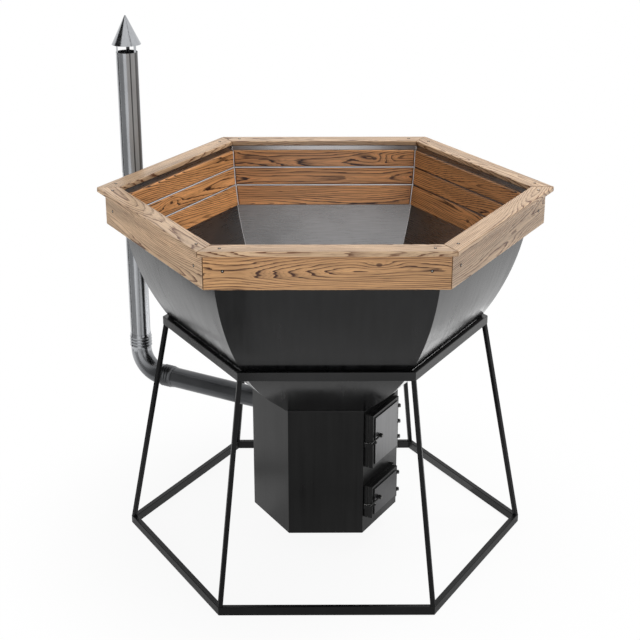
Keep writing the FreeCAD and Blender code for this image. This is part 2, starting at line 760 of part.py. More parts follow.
def hinge_hole(body):
    cut(body, outline(body, "XY_Plane", [("worked.door_front", "worked.hinge_axis", "worked.hinge_hole")]))


def door_frame(door):
    """The rim round the opening, with the lower ears of the hinges on its right side."""
    body = new_body(door + "_door_frame", STOVE)
    _, low, _, high = door_sides(door)
    rim = rectangle("worked.frame_left", low, "worked.frame_right", high)
    pad(body, outline(body, "YZ_Plane", [rim, door_opening(door)], "sizes.stove_apothem"), "sizes.frame_depth")
    radius = "sizes.hinge_ear_radius"
    ear = [
        ("sizes.stove_apothem", f"worked.hinge_axis - {radius}"),
        ("worked.door_front", f"worked.hinge_axis - {radius}", radius, 1),
        (f"worked.door_front + {radius}", "worked.hinge_axis", radius, 1),
        ("worked.door_front", f"worked.hinge_axis + {radius}"),
        ("sizes.stove_apothem", f"worked.hinge_axis + {radius}"),
    ]
    for height in hinge_heights(door):
        pad(body, outline(body, "XY_Plane", [ear], f"{height} - sizes.hinge_ear_play / 2"),
            "sizes.hinge_ear_thickness", back=True)
    hinge_hole(body)
    return keep(body)


def stove_door(door):
    """A pressed pan with a raised middle, a boss for the latch and the upper ears of the hinges."""
    body = new_body(door + "_door", STOVE)
    sides = door_sides(door)
    pad(body, outline(body, "YZ_Plane", [rectangle(*sides)], "worked.door_back"), "sizes.door_depth")
    hollow = rectangle(*inset(sides, "sizes.door_sheet"))
    cut(body, outline(body, "YZ_Plane", [hollow], "worked.door_back"), "sizes.door_depth - sizes.door_sheet",
        back=True)
    panel = rectangle(*inset(sides, "sizes.door_panel_inset"))
    pad(body, outline(body, "YZ_Plane", [panel], "worked.door_front"), "sizes.door_panel_rise")
    boss = ("worked.latch_pivot", latch_height(door), "sizes.latch_boss_radius")
    pad(body, outline(body, "YZ_Plane", [boss], "worked.panel_front"), "sizes.latch_boss_height")
    radius = "sizes.hinge_ear_radius"
    root = "worked.door_right - sizes.hinge_ear_root"
    ear = [
        (f"worked.door_front - {radius}", root), (f"worked.door_front + {radius}", root),
        (f"worked.door_front + {radius}", "worked.hinge_axis", radius, 1),
        ("worked.door_front", f"worked.hinge_axis + {radius}", radius, 1),
        (f"worked.door_front - {radius}", "worked.hinge_axis"),
    ]
    for height in hinge_heights(door):
        pad(body, outline(body, "XY_Plane", [ear], f"{height} + sizes.hinge_ear_play / 2"),
            "sizes.hinge_ear_thickness")
    hinge_hole(body)
    hole = ("worked.latch_pivot", latch_height(door), "worked.bolt_hole")
    cut(body, outline(body, "YZ_Plane", [hole], "worked.boss_front"), "worked.boss_front - worked.door_back")
    return keep(body)


def door_seal(door):
    """A flat rope in the pan's edge, facing the frame."""
    body = new_body(door + "_door_seal", STOVE)
    outer = inset(door_sides(door), "sizes.seal_inset")
    inner = inset(outer, "sizes.seal_width")
    pad(body, outline(body, "YZ_Plane", [rectangle(*outer), rectangle(*inner)], "worked.seal_back"),
        "sizes.seal_thickness")
    return keep(body)


def hinge_pins(door):
    """A headed pin through each pair of ears."""
    ear = "(sizes.hinge_ear_thickness + sizes.hinge_ear_play / 2)"
    head = f"({ear} + sizes.latch_play)"
    top = f"{head} + sizes.hinge_pin_head_height"
    profile = [
        ("0", f"-{ear}"), ("sizes.hinge_pin_radius", f"-{ear}"), ("sizes.hinge_pin_radius", head),
        ("sizes.hinge_pin_head_radius", head), ("sizes.hinge_pin_head_radius", top), ("0", top),
    ]
    pins = []
    for height in hinge_heights(door):
        place = vector(num("worked.door_front"), num("worked.hinge_axis"), num(height))
        pins.append(turned(door + "_hinge_pin", profile, STOVE * FreeCAD.Placement(place, FreeCAD.Rotation())))
    return group(door + "_hinge_pins", pins)


def latch(door):
    """A rod with a flat eye that turns on the door's bolt and drops onto the keeper."""
    body = new_body(door + "_latch", STOVE)
    height = latch_height(door)
    eye = [("worked.latch_pivot", height, "sizes.latch_eye_radius"),
           ("worked.latch_pivot", height, "worked.bolt_hole")]
    pad(body, outline(body, "YZ_Plane", eye, "worked.latch_back"), "sizes.latch_eye_thickness")
    rod = ("worked.latch_axis", height, "sizes.latch_rod_radius")
    pad(body, outline(body, "XZ_Plane", [rod], "-worked.latch_root"), "worked.latch_root - worked.latch_tip")
    return keep(body)


def latch_bolt(door):
    """A headed bolt through the boss, on which the latch turns."""
    tail = "(worked.door_front - sizes.door_sheet - sizes.bolt_tail - worked.latch_front)"
    head = "sizes.latch_play"
    top = f"({head} + sizes.bolt_head_height)"
    profile = [
        ("0", tail), ("sizes.bolt_radius", tail), ("sizes.bolt_radius", head),
        ("sizes.bolt_head_radius", head), ("sizes.bolt_head_radius", top), ("0", top),
    ]
    place = vector(num("worked.latch_front"), num("worked.latch_pivot"), num(latch_height(door)))
    outward = FreeCAD.Rotation(vector(0, 1, 0), 90)
    return keep(turned(door + "_latch_bolt", profile, STOVE * FreeCAD.Placement(place, outward)))


def keeper(door):
    """A bent flat on the frame's left side that carries the end of the latch."""
    body = new_body(door + "_keeper", STOVE)
    height = latch_height(door)
    seat = f"({height} - sizes.latch_rod_radius - sizes.latch_play)"
    root_low = f"{height} - sizes.keeper_drop"
    root_high = f"{root_low} + sizes.keeper_root_height"
    start = "(sizes.stove_apothem + sizes.keeper_root_start)"
    back = "worked.latch_axis - sizes.keeper_tip_half"
    front = "worked.latch_axis + sizes.keeper_tip_half"
    side = [
        (start, root_low), ("worked.frame_front", root_low),
        (front, f"{seat} - sizes.keeper_tip_height"), (front, seat), (back, seat),
        (back, f"{seat} - sizes.keeper_tip_height / 2"), ("worked.frame_front", root_high),
        (start, root_high),
    ]
    pad(body, outline(body, "XZ_Plane", [side], "-worked.frame_left"), "sizes.keeper_thickness")
    return keep(body)


for which in ("fire", "ash"):
    door_frame(which)
    stove_door(which)
    door_seal(which)
    hinge_pins(which)
    latch(which)
    latch_bolt(which)
    keeper(which)


def beaded(start):
    """Places along a collar and the radius at each, with pressed V beads between plain ends."""
    margin = f"(sizes.bead_collar - {BEADS} * sizes.bead_pitch) / 2"
    places = [(start, "sizes.flue_radius"), (f"{start} + {margin}", "sizes.flue_radius")]
    for bead in range(BEADS):
        bead_start = f"{start} + {margin} + {bead} * sizes.bead_pitch"
        places.append((f"{bead_start} + sizes.bead_pitch / 2", "sizes.flue_radius + sizes.bead_rise"))
        places.append((f"{bead_start} + sizes.bead_pitch", "sizes.flue_radius"))
    places.append((f"{start} + sizes.bead_collar", "sizes.flue_radius"))
    return places


# flue: a collar and a pipe out of the stove's back wall, an elbow with beaded collars, two chimney pipes
collar = keep(new_body("flue_collar", STOVE))
pad(collar, outline(collar, "YZ_Plane", [("0", "worked.flue_height", "sizes.flue_collar_radius"),
                                         ("0", "worked.flue_height", "worked.inner_pipe + sizes.flue_play")],
                    "-sizes.stove_apothem"), "sizes.flue_collar_thickness", back=True)

pipe = new_body("flue_straight", STOVE)
pad(pipe, outline(pipe, "YZ_Plane", [("0", "worked.flue_height", "worked.inner_pipe"),
                                     ("0", "worked.flue_height", "worked.inner_pipe_bore")],
                  "-worked.stove_inner"),
    "worked.bend_start - sizes.bead_collar + sizes.flue_slip - worked.stove_inner", back=True)

elbow = new_body("flue_elbow", STOVE)
bend = outline(elbow, "YZ_Plane", [("0", "worked.flue_height", "sizes.flue_radius"),
                                   ("0", "worked.flue_height", "worked.outer_pipe_bore")],
               "-worked.bend_start",
               axis=(("0", "worked.bend_top"), ("sizes.bend_radius", "worked.bend_top")))
revolve(elbow, bend, "Axis0", "90")
upright = [(f"{radius} - worked.chimney_reach", place) for place, radius in beaded("worked.bend_top")]
upright += [("worked.outer_pipe_bore - worked.chimney_reach", "worked.bend_top + sizes.bead_collar"),
            ("worked.outer_pipe_bore - worked.chimney_reach", "worked.bend_top")]
revolve(elbow, outline(elbow, "XZ_Plane", [upright], axis=(
    ("-worked.chimney_reach", "worked.bend_top"),
    ("-worked.chimney_reach", "worked.bend_top + sizes.bead_collar"))), "Axis0")
level = [(place, f"worked.flue_height + {radius}") for place, radius in beaded("-worked.bend_start")]
level += [("sizes.bead_collar - worked.bend_start", "worked.flue_height + worked.outer_pipe_bore"),
          ("-worked.bend_start", "worked.flue_height + worked.outer_pipe_bore")]
revolve(elbow, outline(elbow, "XZ_Plane", [level], axis=(
    ("-worked.bend_start", "worked.flue_height"),
    ("sizes.bead_collar - worked.bend_start", "worked.flue_height"))), "Axis0")
group("flue_pipe", [pipe, elbow])


def chimney_pipe(name, radius, bore, low, high):
    body = new_body(name, STOVE)
    rings = [("-worked.chimney_reach", "0", radius), ("-worked.chimney_reach", "0", bore)]
    pad(body, outline(body, "XY_Plane", rings, low), f"{high} - ({low})")
    return keep(body)


chimney_pipe("chimney_lower", "worked.inner_pipe", "worked.inner_pipe_bore",
             "worked.bend_top + sizes.bead_collar - sizes.flue_slip",
             "(sizes.chimney_joint_height + sizes.flue_slip)")
chimney_pipe("chimney_upper", "sizes.flue_radius", "worked.outer_pipe_bore",
             "sizes.chimney_joint_height", "sizes.chimney_top_height")

CHIMNEY = STOVE * FreeCAD.Placement(vector(-num("worked.chimney_reach"), 0, 0), FreeCAD.Rotation())
keep(turned("chimney_hood", [
    ("sizes.hood_radius", "worked.hood_low"), ("sizes.hood_tip_radius", "worked.hood_top"),
    ("0", "worked.hood_top"), ("0", "worked.hood_top - worked.hood_sheet_rise"),
    ("sizes.hood_tip_radius", "worked.hood_top - worked.hood_sheet_rise"),
    ("sizes.hood_radius - worked.hood_sheet_run", "worked.hood_low"),
], CHIMNEY))

straps = []
for strap in range(STRAPS):
    flat = doc.addObject("Part::Box", "Strap")
    flat.setExpression("Length", "sizes.strap_thickness")
    flat.setExpression("Width", "sizes.strap_width")
    flat.setExpression("Height", "worked.strap_top - worked.strap_low")
    corner = vector(num("worked.strap_face - sizes.strap_thickness"), -num("sizes.strap_width") / 2,
                    num("worked.strap_low"))
    place = FreeCAD.Placement(corner, FreeCAD.Rotation())
    flat.Placement = CHIMNEY * turned_about_z(360 * strap / STRAPS) * place
    straps.append(flat)
group("hood_straps", straps)

# drain: its own Z points out of the sloping back panel, the way the water runs
DRAIN = FreeCAD.Placement(vector(0, num("worked.drain_apothem"), num("worked.drain_height")),
                          FreeCAD.Rotation(vector(1, 0, 0), 180 + num("worked.bowl_slope")))

keep(turned("drain_nipple", rectangle("sizes.drain_hole_radius", "0", "sizes.nipple_radius",
                                      "sizes.nipple_length"), DRAIN))

valve = keep(new_body("drain_valve_body", DRAIN))
revolve(valve, outline(valve, "XZ_Plane", [[
    ("0", "worked.valve_start"), ("sizes.valve_end_radius", "worked.valve_start"),
    ("sizes.valve_end_radius", "worked.valve_belly_low"),
    ("sizes.valve_belly_radius", "worked.valve_belly_low + sizes.valve_end_length / 2"),
    ("sizes.valve_belly_radius", "worked.valve_belly_high - sizes.valve_end_length / 2"),
    ("sizes.valve_end_radius", "worked.valve_belly_high"), ("sizes.valve_end_radius", "worked.valve_end"),
    ("sizes.spigot_radius", "worked.valve_end"), ("sizes.spigot_radius", "worked.spigot_end"),
    ("0", "worked.spigot_end"),
]]))
pad(valve, outline(valve, "YZ_Plane", [("0", "sizes.valve_centre_reach", "sizes.neck_radius")],
                   "worked.cavity_half"), "sizes.neck_reach - worked.cavity_half")
doc.recompute()
solid_volume = valve.Shape.Volume
socket = "sizes.nipple_radius + sizes.running_play"
revolve(valve, outline(valve, "XZ_Plane", [[
    ("0", "worked.valve_start"), (socket, "worked.valve_start"), (socket, "sizes.nipple_length"),
    ("sizes.drain_bore_radius", "sizes.nipple_length"),
    ("sizes.drain_bore_radius", "worked.spigot_end"), ("0", "worked.spigot_end"),
]]), kind="Groove")
doc.recompute()
if valve.Shape.Volume >= solid_volume:
    raise RuntimeError("the valve was not bored")
cut(valve, outline(valve, "YZ_Plane", [("0", "sizes.valve_centre_reach", "worked.cavity_radius")],
                   "worked.cavity_half"), "worked.cavity_half * 2")
cut(valve, outline(valve, "YZ_Plane", [("0", "sizes.valve_centre_reach",
                                        "sizes.stem_radius + sizes.running_play")], "sizes.neck_reach"),
    "sizes.neck_reach")

plug = keep(new_body("drain_plug", DRAIN))
pad(plug, outline(plug, "YZ_Plane", [("0", "sizes.valve_centre_reach", "sizes.plug_radius")]),
    "sizes.plug_half * 2", both=True)
cut(plug, outline(plug, "XZ_Plane", [("0", "sizes.valve_centre_reach", "sizes.drain_bore_radius")]))

lever = keep(new_body("drain_lever", DRAIN))
pad(lever, outline(lever, "YZ_Plane", [("0", "sizes.valve_centre_reach", "sizes.stem_radius")],
                   "sizes.plug_half"), "worked.lever_low - sizes.plug_half")
handle = eased("-sizes.lever_length", "sizes.valve_centre_reach - sizes.lever_width / 2", "sizes.lever_tail",
               "sizes.valve_centre_reach + sizes.lever_width / 2", "sizes.lever_thickness")
pad(lever, outline(lever, "YZ_Plane", [handle], "worked.lever_low"), "sizes.lever_thickness")

# floor grate: slats cut to the bowl's six sides on two bearers that rest on the slope
floor = []
for sign in (-1, 1):
    bearer = new_body("floor_bearer")
    left = f"{sign} * sizes.bearer_reach - sizes.bearer_width / 2"
    right = f"{sign} * sizes.bearer_reach + sizes.bearer_width / 2"
    plan = rectangle(left, "-worked.bearer_half", right, "worked.bearer_half")
    pad(bearer, outline(bearer, "XY_Plane", [plan], "worked.bearer_low"), "sizes.bearer_height")
    floor.append(bearer)
    for row in range(SLATS_EACH_SIDE):
        slat = new_body("floor_slat")
        near = f"(sizes.slat_gap / 2 + {row} * worked.slat_pitch)"
        far = f"({near} + sizes.slat_width)"
        near_half = f"(worked.slat_corner - {near} * tan({HALF_WALL}))"
        far_half = f"(worked.slat_corner - {far} * tan({HALF_WALL}))"
        shape = [(f"-{near_half}", f"{sign} * {near}"), (near_half, f"{sign} * {near}"),
                 (far_half, f"{sign} * {far}"), (f"-{far_half}", f"{sign} * {far}")]
        pad(slat, outline(slat, "XY_Plane", [shape], "worked.slat_low"), "sizes.slat_thickness")
        floor.append(slat)
group("floor_grate", floor)

doc.recompute()
for item in doc.Objects:
    if "Invalid" in item.State or "Error" in item.State:
        raise RuntimeError(f"{item.Label} ({item.Name}) did not build")

os.makedirs("parts", exist_ok=True)
for node in nodes:
    shape = node.Shape
    if shape.isNull() or not shape.isValid():
        raise RuntimeError(node.Label + " has no valid shape")
    shape.exportStep(os.path.join("parts", node.Label + ".step"))
    print(f"{node.Label}: {len(shape.Solids)} solid(s), {shape.Volume / 1000:.1f} cm3")
print(len(nodes), "nodes")
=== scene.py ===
# %% [markdown]
# # A wood-fired bathing vat
# A six-sided steel bowl with a larch rim stands on a frame of tube, with a stove hung under it and a chimney
# beside it. The imported model gives every piece its place and size. This lesson gives the pieces their finish:
# oiled boards, satin black steel, brushed steel inside the bowl, and bright flue pipe. The imported model is
# loaded first.

# %% Load the imported model
import json
import math

import bmesh
import bpy
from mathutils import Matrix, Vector

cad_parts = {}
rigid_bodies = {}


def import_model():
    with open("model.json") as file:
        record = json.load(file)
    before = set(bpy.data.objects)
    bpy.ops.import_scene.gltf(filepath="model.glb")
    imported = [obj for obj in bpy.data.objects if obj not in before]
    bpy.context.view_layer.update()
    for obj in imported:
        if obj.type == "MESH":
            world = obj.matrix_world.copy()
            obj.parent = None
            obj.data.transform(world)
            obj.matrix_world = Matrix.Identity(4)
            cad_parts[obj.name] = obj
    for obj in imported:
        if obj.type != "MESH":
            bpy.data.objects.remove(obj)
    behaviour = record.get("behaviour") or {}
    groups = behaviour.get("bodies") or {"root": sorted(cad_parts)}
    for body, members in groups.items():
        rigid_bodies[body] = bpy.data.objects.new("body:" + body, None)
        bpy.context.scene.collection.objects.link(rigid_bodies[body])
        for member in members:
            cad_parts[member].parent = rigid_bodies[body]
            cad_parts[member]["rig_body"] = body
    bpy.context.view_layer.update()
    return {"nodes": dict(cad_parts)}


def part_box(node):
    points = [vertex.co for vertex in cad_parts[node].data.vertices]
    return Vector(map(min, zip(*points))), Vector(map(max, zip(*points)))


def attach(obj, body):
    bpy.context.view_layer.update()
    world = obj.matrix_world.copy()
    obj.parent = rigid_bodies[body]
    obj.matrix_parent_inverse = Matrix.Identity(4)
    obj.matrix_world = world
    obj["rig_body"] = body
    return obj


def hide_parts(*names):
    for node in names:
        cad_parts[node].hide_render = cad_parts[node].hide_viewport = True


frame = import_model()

nodes = frame["nodes"]

# %% [markdown]
# ## Copies with soft edges
# A imported piece is a bag of loose triangles with knife edges. Real boards and folded steel have small
# rounded edges, which catch a line of light. A copy of the piece has its corners joined and its flat faces
# made whole, then a Bevel modifier rounds the sharp edges. The modifier is turned into plain mesh at once.
# The imported piece itself stays untouched under its copy.

# %% Dress a node
SHARP = math.radians(30)
FLAT = math.radians(0.4)
JOIN = 2e-6
EDGE_STEPS = 2


def added(name, data):
    """A new object in the scene."""
    piece = bpy.data.objects.new(name, data)
    bpy.context.scene.collection.objects.link(piece)
    return piece


def merged_mesh(node):
    """A new mesh of a node, with its corners joined and its flat faces whole."""
    shape = bmesh.new()
    shape.from_mesh(nodes[node].data)
    bmesh.ops.remove_doubles(shape, verts=shape.verts, dist=JOIN)
    bmesh.ops.dissolve_limit(shape, angle_limit=FLAT, verts=shape.verts, edges=shape.edges)
    mesh = bpy.data.meshes.new(node + "_dressed")
    shape.to_mesh(mesh)
    shape.free()
    stored = mesh.attributes.get("custom_normal")
    if stored:
        mesh.attributes.remove(stored)
    mesh.shade_smooth()
    mesh.set_sharp_from_angle(angle=SHARP)
    return mesh


def plain_mesh(piece):
    """The mesh that a piece's modifiers make, in place of them."""
    seen = piece.evaluated_get(bpy.context.evaluated_depsgraph_get())
    mesh = bpy.data.meshes.new_from_object(seen)
    piece.modifiers.clear()
    piece.data = mesh
    return mesh


def dressed(node, edge):
    """A copy of a node with its edges rounded by a width in metres."""
    piece = added(node + "_dressed", merged_mesh(node))
    if edge:
        bevel = piece.modifiers.new("soft edge", "BEVEL")
        bevel.width = edge
        bevel.segments = EDGE_STEPS
        bevel.limit_method = "ANGLE"
        bevel.angle_limit = SHARP
        bevel.harden_normals = True
        plain_mesh(piece)
    return piece


def stands_for(piece, node, *finishes):
    """Lets a finished piece take the place of a node, on the node's own body, with its finishes."""
    piece.data.materials.clear()
    for finish in finishes:
        piece.data.materials.append(finish)
    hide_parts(node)
    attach(piece, nodes[node]["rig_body"])


def finished(node, edge, *finishes):
    """A dressed copy of a node, finished and in the node's place."""
    piece = dressed(node, edge)
    stands_for(piece, node, *finishes)
    return piece


print("a dressed copy rounds edges sharper than", round(math.degrees(SHARP)), "degrees")

# %% [markdown]
# ## Which way a board runs
# Timber has a direction: its grain runs along the board, its growth rings cross it. The pattern has to
# follow each board, so every copy stores three numbers at each point: how far along the board it is, how
# far across it, and how deep in it. The six walls of the vat give the directions.

# %% Walls and stored vectors
WALLS = {"front": -90, "front_right": -30, "back_right": 30,
         "back": 90, "back_left": 150, "front_left": 210}


def wall_axes(side):
    """Outward and sideways directions of a wall of the vat."""
    turn = math.radians(WALLS[side])
    return Vector((math.cos(turn), math.sin(turn), 0)), Vector((-math.sin(turn), math.cos(turn), 0))


def store_vectors(mesh, name, vectors):
    """Keeps one vector for each point of a mesh under a name that a finish can read."""
    layer = mesh.attributes.new(name, "FLOAT_VECTOR", "POINT")
    layer.data.foreach_set("vector", [value for vector in vectors for value in vector])


print("walls:", ", ".join(WALLS))

# %% [markdown]
# ## The lay of each board
# Each board gets its own start along the log, so that no two look alike, and a few boards get a knot, which
# is stored as the way from the knot to each point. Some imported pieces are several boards. These are islands
# of the mesh, as no edge leads from one to the next, so walking along the edges from any point finds one
# whole board.

# %% Lay of a board
LOG_STEP = 2.37
NO_KNOT = (9.0, 9.0)


def from_middle(values):
    """The same values, measured from the middle of their range."""
    middle = (min(values) + max(values)) / 2
    return [value - middle for value in values]


def islands_of(mesh):
    """The numbers of the points of each loose part."""
    shape = bmesh.new()
    shape.from_mesh(mesh)
    found = set()
    islands = []
    for start in shape.verts:
        if start in found:
            continue
        island = {start}
        waiting = [start]
        while waiting:
            near = {other for edge in waiting.pop().link_edges for other in edge.verts} - island
            island |= near
            waiting += near
        found |= island
        islands.append(sorted(vertex.index for vertex in island))
    shape.free()
    return islands


def board_lay(piece, directions, first_log, knot=None):
    """The lay of the boards of a piece; a knot is a board's number from the top and a place on it."""
    points = [vertex.co for vertex in piece.data.vertices]
    boards = sorted(islands_of(piece.data), key=lambda board: -max(points[index].z for index in board))
    places = [None] * len(points)
    from_knot = [None] * len(points)
    for row, board in enumerate(boards):
        along, across, through = directions([points[index] for index in board])
        widths = from_middle([points[index].dot(across) for index in board])
        depths = from_middle([points[index].dot(through) for index in board])
        heart = knot[1:] if knot and knot[0] == row else NO_KNOT
        for index, width, depth in zip(board, widths, depths):
            place = points[index].dot(along)
            places[index] = (place + (first_log + row) * LOG_STEP, width, depth)
            from_knot[index] = (place - heart[0], width - heart[1], 0)
    store_vectors(piece.data, "lay", places)
    store_vectors(piece.data, "from_knot", from_knot)
    return len(boards)


print("next board starts", LOG_STEP, "m further along the log")

# %% [markdown]
# ## Small helpers for node trees
# The finishes are made of shader nodes. These helpers add a node, join or set its sockets, and return the
# socket that carries the result, so that a finish reads from top to bottom like a recipe.

# %% Node helpers
def colour(red, green, blue):
    """A colour written as it looks on a screen, made ready for a shader."""
    values = [channel / 255 for channel in (red, green, blue)]
    linear = [value / 12.92 if value <= 0.04045 else ((value + 0.055) / 1.055) ** 2.4
              for value in values]
    return (*linear, 1.0)


def feed(tree, socket, value):
    """Joins a socket to another one, or sets it to a plain value."""
    if isinstance(value, bpy.types.NodeSocket):
        tree.links.new(value, socket)
    else:
        socket.default_value = value


def maths(tree, operation, *values):
    node = tree.nodes.new("ShaderNodeMath")
    node.operation = operation
    for socket, value in zip(node.inputs, values):
        feed(tree, socket, value)
    return node.outputs[0]


def vector_maths(tree, operation, first, second):
    node = tree.nodes.new("ShaderNodeVectorMath")
    node.operation = operation
    feed(tree, node.inputs[0], first)
    feed(tree, node.inputs[1], second)
    return node.outputs[0]


def vector_length(tree, vector, scale=(1, 1, 1)):
    """The length of a vector; the scale is a multiplier for each direction."""
    node = tree.nodes.new("ShaderNodeVectorMath")
    node.operation = "LENGTH"
    feed(tree, node.inputs[0], vector_maths(tree, "MULTIPLY", vector, scale))
    return node.outputs["Value"]


def split_vector(tree, vector):
    """The sockets X, Y and Z of a vector."""
    node = tree.nodes.new("ShaderNodeSeparateXYZ")
    feed(tree, node.inputs[0], vector)
    return node.outputs


print("node helpers ready")

# %% [markdown]
# ## Helpers for patterns
# A finish mixes colours by patterns. Noise gives soft random values, one range of values is spread onto
# another, and a ramp turns a value into greys. A group keeps a pattern that several finishes share.

# %% Pattern helpers
def noise(tree, vector, scale, detail=2.0):
    """Smooth random values; the scale is a multiplier for each direction."""
    node = tree.nodes.new("ShaderNodeTexNoise")
    node.inputs["Scale"].default_value = 1.0
    node.inputs["Detail"].default_value = detail
    feed(tree, node.inputs["Vector"], vector_maths(tree, "MULTIPLY", vector, scale))
    return node.outputs["Fac"]


def spread(tree, value, low, high, to_low=0.0, to_high=1.0, smooth=False):
    """Maps a range of values onto another one, held at its ends."""
    node = tree.nodes.new("ShaderNodeMapRange")
    node.interpolation_type = "SMOOTHSTEP" if smooth else "LINEAR"
    for socket, number in zip(node.inputs, (value, low, high, to_low, to_high)):
        feed(tree, socket, number)
    return node.outputs["Result"]


def blended(tree, factor, first, second, mode="MIX"):
    node = tree.nodes.new("ShaderNodeMix")
    node.data_type = "RGBA"
    node.blend_type = mode
    feed(tree, node.inputs["Factor"], factor)
    feed(tree, node.inputs[6], first)
    feed(tree, node.inputs[7], second)
    return node.outputs[2]


def stepped(tree, value, stops):
    """A ramp of grey values."""
    node = tree.nodes.new("ShaderNodeValToRGB")
    ramp = node.color_ramp
    while len(ramp.elements) < len(stops):
        ramp.elements.new(0.5)
    for element, (place, grey) in zip(ramp.elements, stops):
        element.position = place
        element.color = (grey, grey, grey, 1.0)
    feed(tree, node.inputs["Fac"], value)
    return node.outputs["Color"]


def new_group(name, inputs, outputs):
    """An empty group of shader nodes with named sockets."""
    tree = bpy.data.node_groups.new(name, "ShaderNodeTree")
    for way, sockets in (("INPUT", inputs), ("OUTPUT", outputs)):
        for socket, kind in sockets.items():
            tree.interface.new_socket(name=socket, in_out=way, socket_type="NodeSocket" + kind)
    return tree, tree.nodes.new("NodeGroupInput").outputs, tree.nodes.new("NodeGroupOutput").inputs


print("pattern helpers ready")

# %% [markdown]
# ## The figure of larch
# A flat-sawn board cuts the growth rings of the log at a slant, which draws the pointed arches on the fascia.
# The group rebuilds that: the heart of the log wanders beside the board, the distance from a point to the
# heart divided by the ring width counts the rings, and each ring goes slowly from pale early wood to a thin
# dark line of late wood. A knot pushes the rings aside. Fine fibres run along the board.

# %% Timber figure
HEART_ASIDE = 0.10
HEART_DEPTH = (0.0, 0.060)
OTHER_PLACE = (3.7, 0, 0)
WAVE_RINGS = 0.50
JITTER_RINGS = 0.18
KNOT_PUSH = 2.2
KNOT_REACH = (8, 32, 0)
KNOT_CORE = (54, 88, 0)
RING_LINE = ((0.0, 0.2), (0.03, 0.0), (0.46, 0.06), (0.73, 0.30), (0.87, 1.0), (0.98, 1.0), (1.0, 0.4))
FINE_LINE = ((0.0, 0.3), (0.1, 0.0), (0.6, 0.1), (0.9, 1.0), (1.0, 0.5))
FINE_PER_RING = 3.3
LATE_SHARE = 0.94
FINE_SHARE = 0.20
FIBRE_SHARE = 0.30


def heart_distance(tree, lay):
    """How far a point is from the heart of the log, which wanders beside and below the board."""
    parts = split_vector(tree, lay)
    aside = spread(tree, noise(tree, lay, (0.45, 0, 0), 1.0), 0.32, 0.68, -HEART_ASIDE, HEART_ASIDE)
    elsewhere = vector_maths(tree, "ADD", lay, OTHER_PLACE)
    depth = spread(tree, noise(tree, elsewhere, (0.95, 0, 0), 1.0), 0.33, 0.67, *HEART_DEPTH)
    beside = maths(tree, "ABSOLUTE", maths(tree, "SUBTRACT", parts["Y"], aside))
    below = maths(tree, "ABSOLUTE", maths(tree, "ADD", depth, parts["Z"]))
    squares = [maths(tree, "POWER", way, 2.0) for way in (beside, below)]
    return maths(tree, "SQRT", maths(tree, "ADD", *squares))


def timber_figure():
    tree, given, out = new_group(
        "timber figure",
        {"Lay": "Vector", "From knot": "Vector", "Ring": "Float", "Early": "Color", "Late": "Color"},
        {"Colour": "Color", "Late wood": "Float", "Relief": "Float"})
    lay = given["Lay"]
    rings = maths(tree, "DIVIDE", heart_distance(tree, lay), given["Ring"])
    waves = spread(tree, noise(tree, lay, (1.7, 19, 19), 2.0), 0.25, 0.75, -WAVE_RINGS, WAVE_RINGS)
    jitter = spread(tree, noise(tree, lay, (9, 130, 130), 2.0), 0.25, 0.75, -JITTER_RINGS, JITTER_RINGS)
    round_knot = vector_length(tree, given["From knot"], KNOT_REACH)
    pushed = spread(tree, round_knot, 1.0, 0.0, 0.0, KNOT_PUSH, True)
    core = spread(tree, vector_length(tree, given["From knot"], KNOT_CORE), 1.0, 0.45, 0.0, 1.0, True)
    count = maths(tree, "ADD", maths(tree, "ADD", rings, waves), maths(tree, "ADD", jitter, pushed))
    ring_line = stepped(tree, maths(tree, "FRACT", count), RING_LINE)
    between = stepped(tree, maths(tree, "FRACT", maths(tree, "MULTIPLY", count, FINE_PER_RING)), FINE_LINE)
    strength = spread(tree, noise(tree, lay, (1.6, 18, 18), 2.0), 0.34, 0.62, 0.52, 1.0)
    late = maths(tree, "MULTIPLY", ring_line, strength)
    fibre = spread(tree, noise(tree, lay, (5, 120, 120), 3.0), 0.34, 0.66, 0.0, 1.0)
    tone = spread(tree, noise(tree, lay, (1.5, 16, 16), 2.0), 0.3, 0.7, 0.80, 1.14)
    fine = maths(tree, "ADD", maths(tree, "MULTIPLY", between, FINE_SHARE),
                 maths(tree, "MULTIPLY", fibre, FIBRE_SHARE))
    dark = maths(tree, "MINIMUM", maths(tree, "ADD", maths(tree, "MULTIPLY", late, LATE_SHARE), fine), 1.0)
    shade = maths(tree, "MAXIMUM", dark,
                  maths(tree, "MULTIPLY", core, spread(tree, fibre, 0.0, 1.0, 0.75, 1.0)))
    wood = blended(tree, shade, given["Early"], given["Late"])
    feed(tree, out["Colour"], blended(tree, 1.0, wood, tone, "MULTIPLY"))
    feed(tree, out["Late wood"], shade)
    feed(tree, out["Relief"], maths(tree, "SUBTRACT", maths(tree, "MULTIPLY", late, 0.6), fibre))
    return tree


TIMBER = timber_figure()
print("group:", TIMBER.name, len(TIMBER.nodes), "nodes")

# %% [markdown]
# ## Oiled boards
# The rim has bleached in the sun and is paler than the backrests, which have had more oil. The fascia at the
# front is painted darker and more saturated than the other fascias, as painted shade. All take the same figure
# with other colours.
# Oil leaves a low sheen, a little duller on the dark rings, and the grain can just be felt, which is a bump.

# %% Board finishes
def finish(name):
    """A new material, its tree, and the inputs of its shader."""
    material = bpy.data.materials.new(name)
    material.use_nodes = True
    tree = material.node_tree
    return material, tree, tree.nodes["Principled BSDF"].inputs


def read_vectors(tree, name):
    node = tree.nodes.new("ShaderNodeAttribute")
    node.attribute_name = name
    return node.outputs["Vector"]


def read_lay(tree):
    return read_vectors(tree, "lay")


